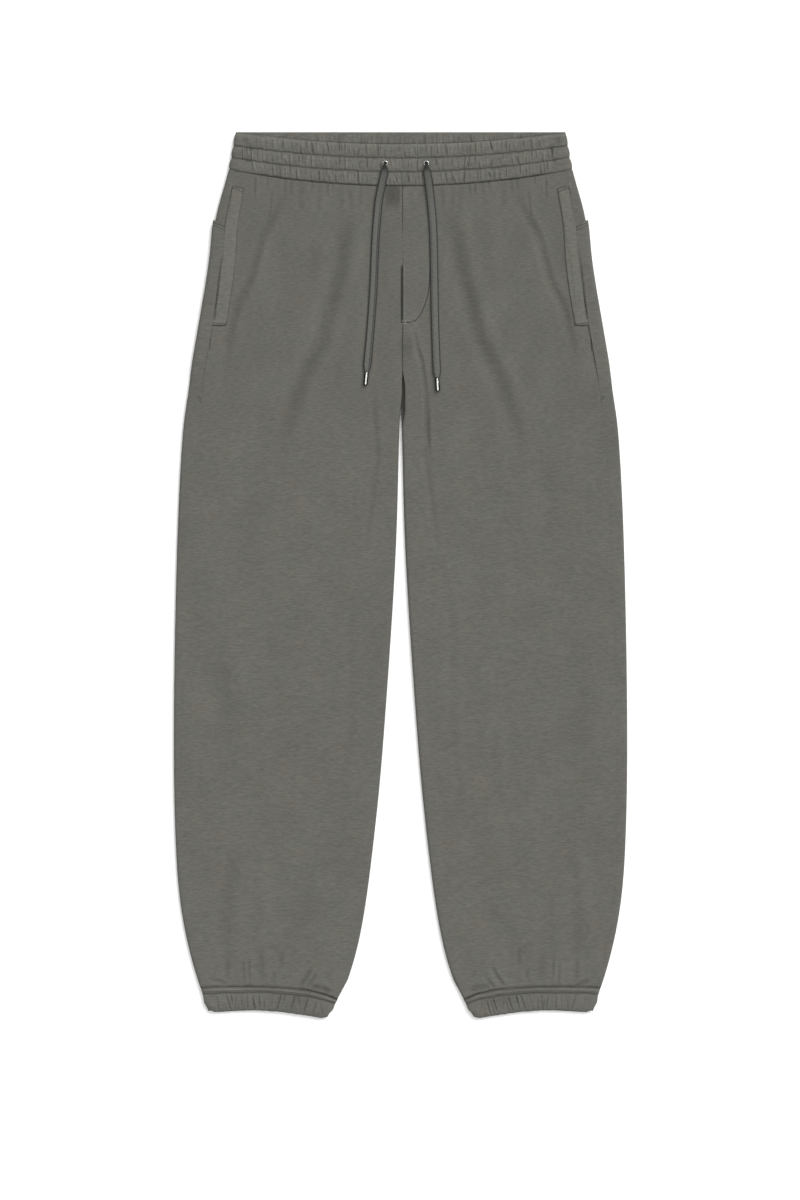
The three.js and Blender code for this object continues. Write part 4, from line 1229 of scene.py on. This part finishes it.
class SWEATS_OT_stitching(bpy.types.Operator):
    """Sews rows of thread: the waistband's channels, the pockets, the fly and the cuffs"""

    bl_idname = "sweats.stitching"
    bl_label = "Stitching"

    def execute(self, context):
        graph = context.evaluated_depsgraph_get()
        graph.update()
        self.cloth = [
            BVHTree.FromObject(piece, graph) for piece in context.scene.objects if piece.name.endswith("_cloth")
        ]
        thread = sewing_thread()
        self.row("band_stitching", thread, self.band_rows(False), self.band_rows(True))
        self.row("pocket_stitching", thread, self.both(SIDE_SEWING), self.both(PATCH_ROWS))
        self.row("fly_stitching", thread, [FLY_STITCH], [((0, 60), (0, 200), (0, 290))])
        self.row("fly_tacks", sewing_thread("Pale bar tack thread", 5), FLY_TACKS, [])
        cuffs = self.both([self.cuff_row(CUFF_RIDGE, 0.2), self.cuff_row(CUFF_SEAM, -2.4)])
        self.row("cuff_stitching", thread, cuffs, cuffs)
        return {"FINISHED"}

    def band_rows(self, back):
        """The rows that divide the waistband's channels and join it to the garment."""
        reach = range(-192, 193, 4)
        shares = [seam / BAND_CHANNELS for seam in range(1, BAND_CHANNELS)] + [0.985]
        return [[(x, band_line(x, share, back)) for x in reach] for share in shares]

    def cuff_row(self, table, by):
        """A row along a line of the cuff."""
        return [(x, float(cuff_line(x, table)) + by) for x in range(-233, -75, 5)]

    def both(self, routes):
        """Routes on the wearer's right, and the same on the left."""
        return list(routes) + [[(-x, down) for x, down in route] for route in routes]

    def on_cloth(self, x, down, back):
        """The place on the outermost cloth above or below a point, or None."""
        origin = place(x, down, -50 if back else 50)
        hits = [tree.ray_cast(origin, Vector((0, 0, 1 if back else -1)))[0] for tree in self.cloth]
        hits = [hit for hit in hits if hit]
        if not hits:
            return None
        outermost = (min if back else max)(hits, key=lambda hit: hit.z)
        outermost.z = max(outermost.z, 0.7 * settings().stitch.thread)
        return outermost

    def row(self, name, material, front_routes, back_routes):
        """One object of all the stitches along some routes."""
        stitch = settings().stitch
        bm = bmesh.new()
        for routes, back in ((front_routes, False), (back_routes, True)):
            for route in routes:
                lengths = [0]
                for a, b in zip(route, route[1:]):
                    lengths.append(lengths[-1] + math.dist(a, b))
                count = max(1, int(lengths[-1] * MM / stitch.pitch))
                for i in range(count):
                    ends = [(i + 0.5) / count * lengths[-1] + k * stitch.length / MM / 2 for k in (-1, 1)]
                    ends = [self.on_cloth(*[float(np.interp(at, lengths, axis)) for axis in zip(*route)], back)
                            for at in ends]
                    if all(ends) and (ends[0] - ends[1]).length < 2 * stitch.length:
                        self.sew(bm, *ends, stitch.thread, -1 if back else 1)
        bmesh.ops.recalc_face_normals(bm, faces=bm.faces)
        dressed(bm, name, material)

    def sew(self, bm, start, end, thread, up):
        """One stitch: a thread that rises out of the cloth, lies on it and dips in again."""
        along = (end - start).normalized()
        across = along.cross(Vector((0, 0, 1))).normalized() * thread / 2
        rise = Vector((0, 0, up * thread / 2))
        rings = []
        for share, size in ((0.18, 0.85), (0.82, 0.85)):
            middle = start.lerp(end, share) + rise * 0.35
            rings.append([bm.verts.new(middle + step * size) for step in (across, rise, -across, -rise)])
        tips = [bm.verts.new(point - rise * 0.6) for point in (start, end)]
        for i in range(4):
            j = (i + 1) % 4
            bm.faces.new((rings[0][i], rings[0][j], rings[1][j], rings[1][i]))
            bm.faces.new((tips[0], rings[0][j], rings[0][i]))
            bm.faces.new((tips[1], rings[1][i], rings[1][j]))


PIECES = ("stage", "drawcord", "waistband", "fronts", "backs", "cuffs", "pockets", "stitching")


class SWEATS_PT_panel(bpy.types.Panel):
    """Lists the garment's pieces and settings in the sidebar"""

    bl_idname = "SWEATS_PT_panel"
    bl_label = "Sweatpants"
    bl_space_type = "VIEW_3D"
    bl_region_type = "UI"
    bl_category = "Sweatpants"

    def draw(self, context):
        for name in PIECES:
            self.layout.operator(f"sweats.{name}")
        for group in ("cloth", "stitch", "cord", "studio"):
            values = getattr(settings(), group)
            box = self.layout.box()
            for key in values.__annotations__:
                box.prop(values, key)


CLASSES = (
    ClothSettings, StitchSettings, CordSettings, StudioSettings, GarmentSettings,
    SWEATS_OT_stage, SWEATS_OT_drawcord, SWEATS_OT_waistband, SWEATS_OT_fronts, SWEATS_OT_backs, SWEATS_OT_cuffs,
    SWEATS_OT_pockets, SWEATS_OT_stitching, SWEATS_PT_panel,
)


def register():
    """Registers the classes and the scene's settings."""
    for cls in CLASSES:
        bpy.utils.register_class(cls)
    bpy.types.Scene.sweatpants = bpy.props.PointerProperty(type=GarmentSettings)


def unregister():
    """Removes what register added."""
    del bpy.types.Scene.sweatpants
    for cls in reversed(CLASSES):
        bpy.utils.unregister_class(cls)


def main():
    """Makes every piece in order."""
    register()
    for name in PIECES:
        getattr(bpy.ops.sweats, name)()


if __name__ == "__main__":
    main()
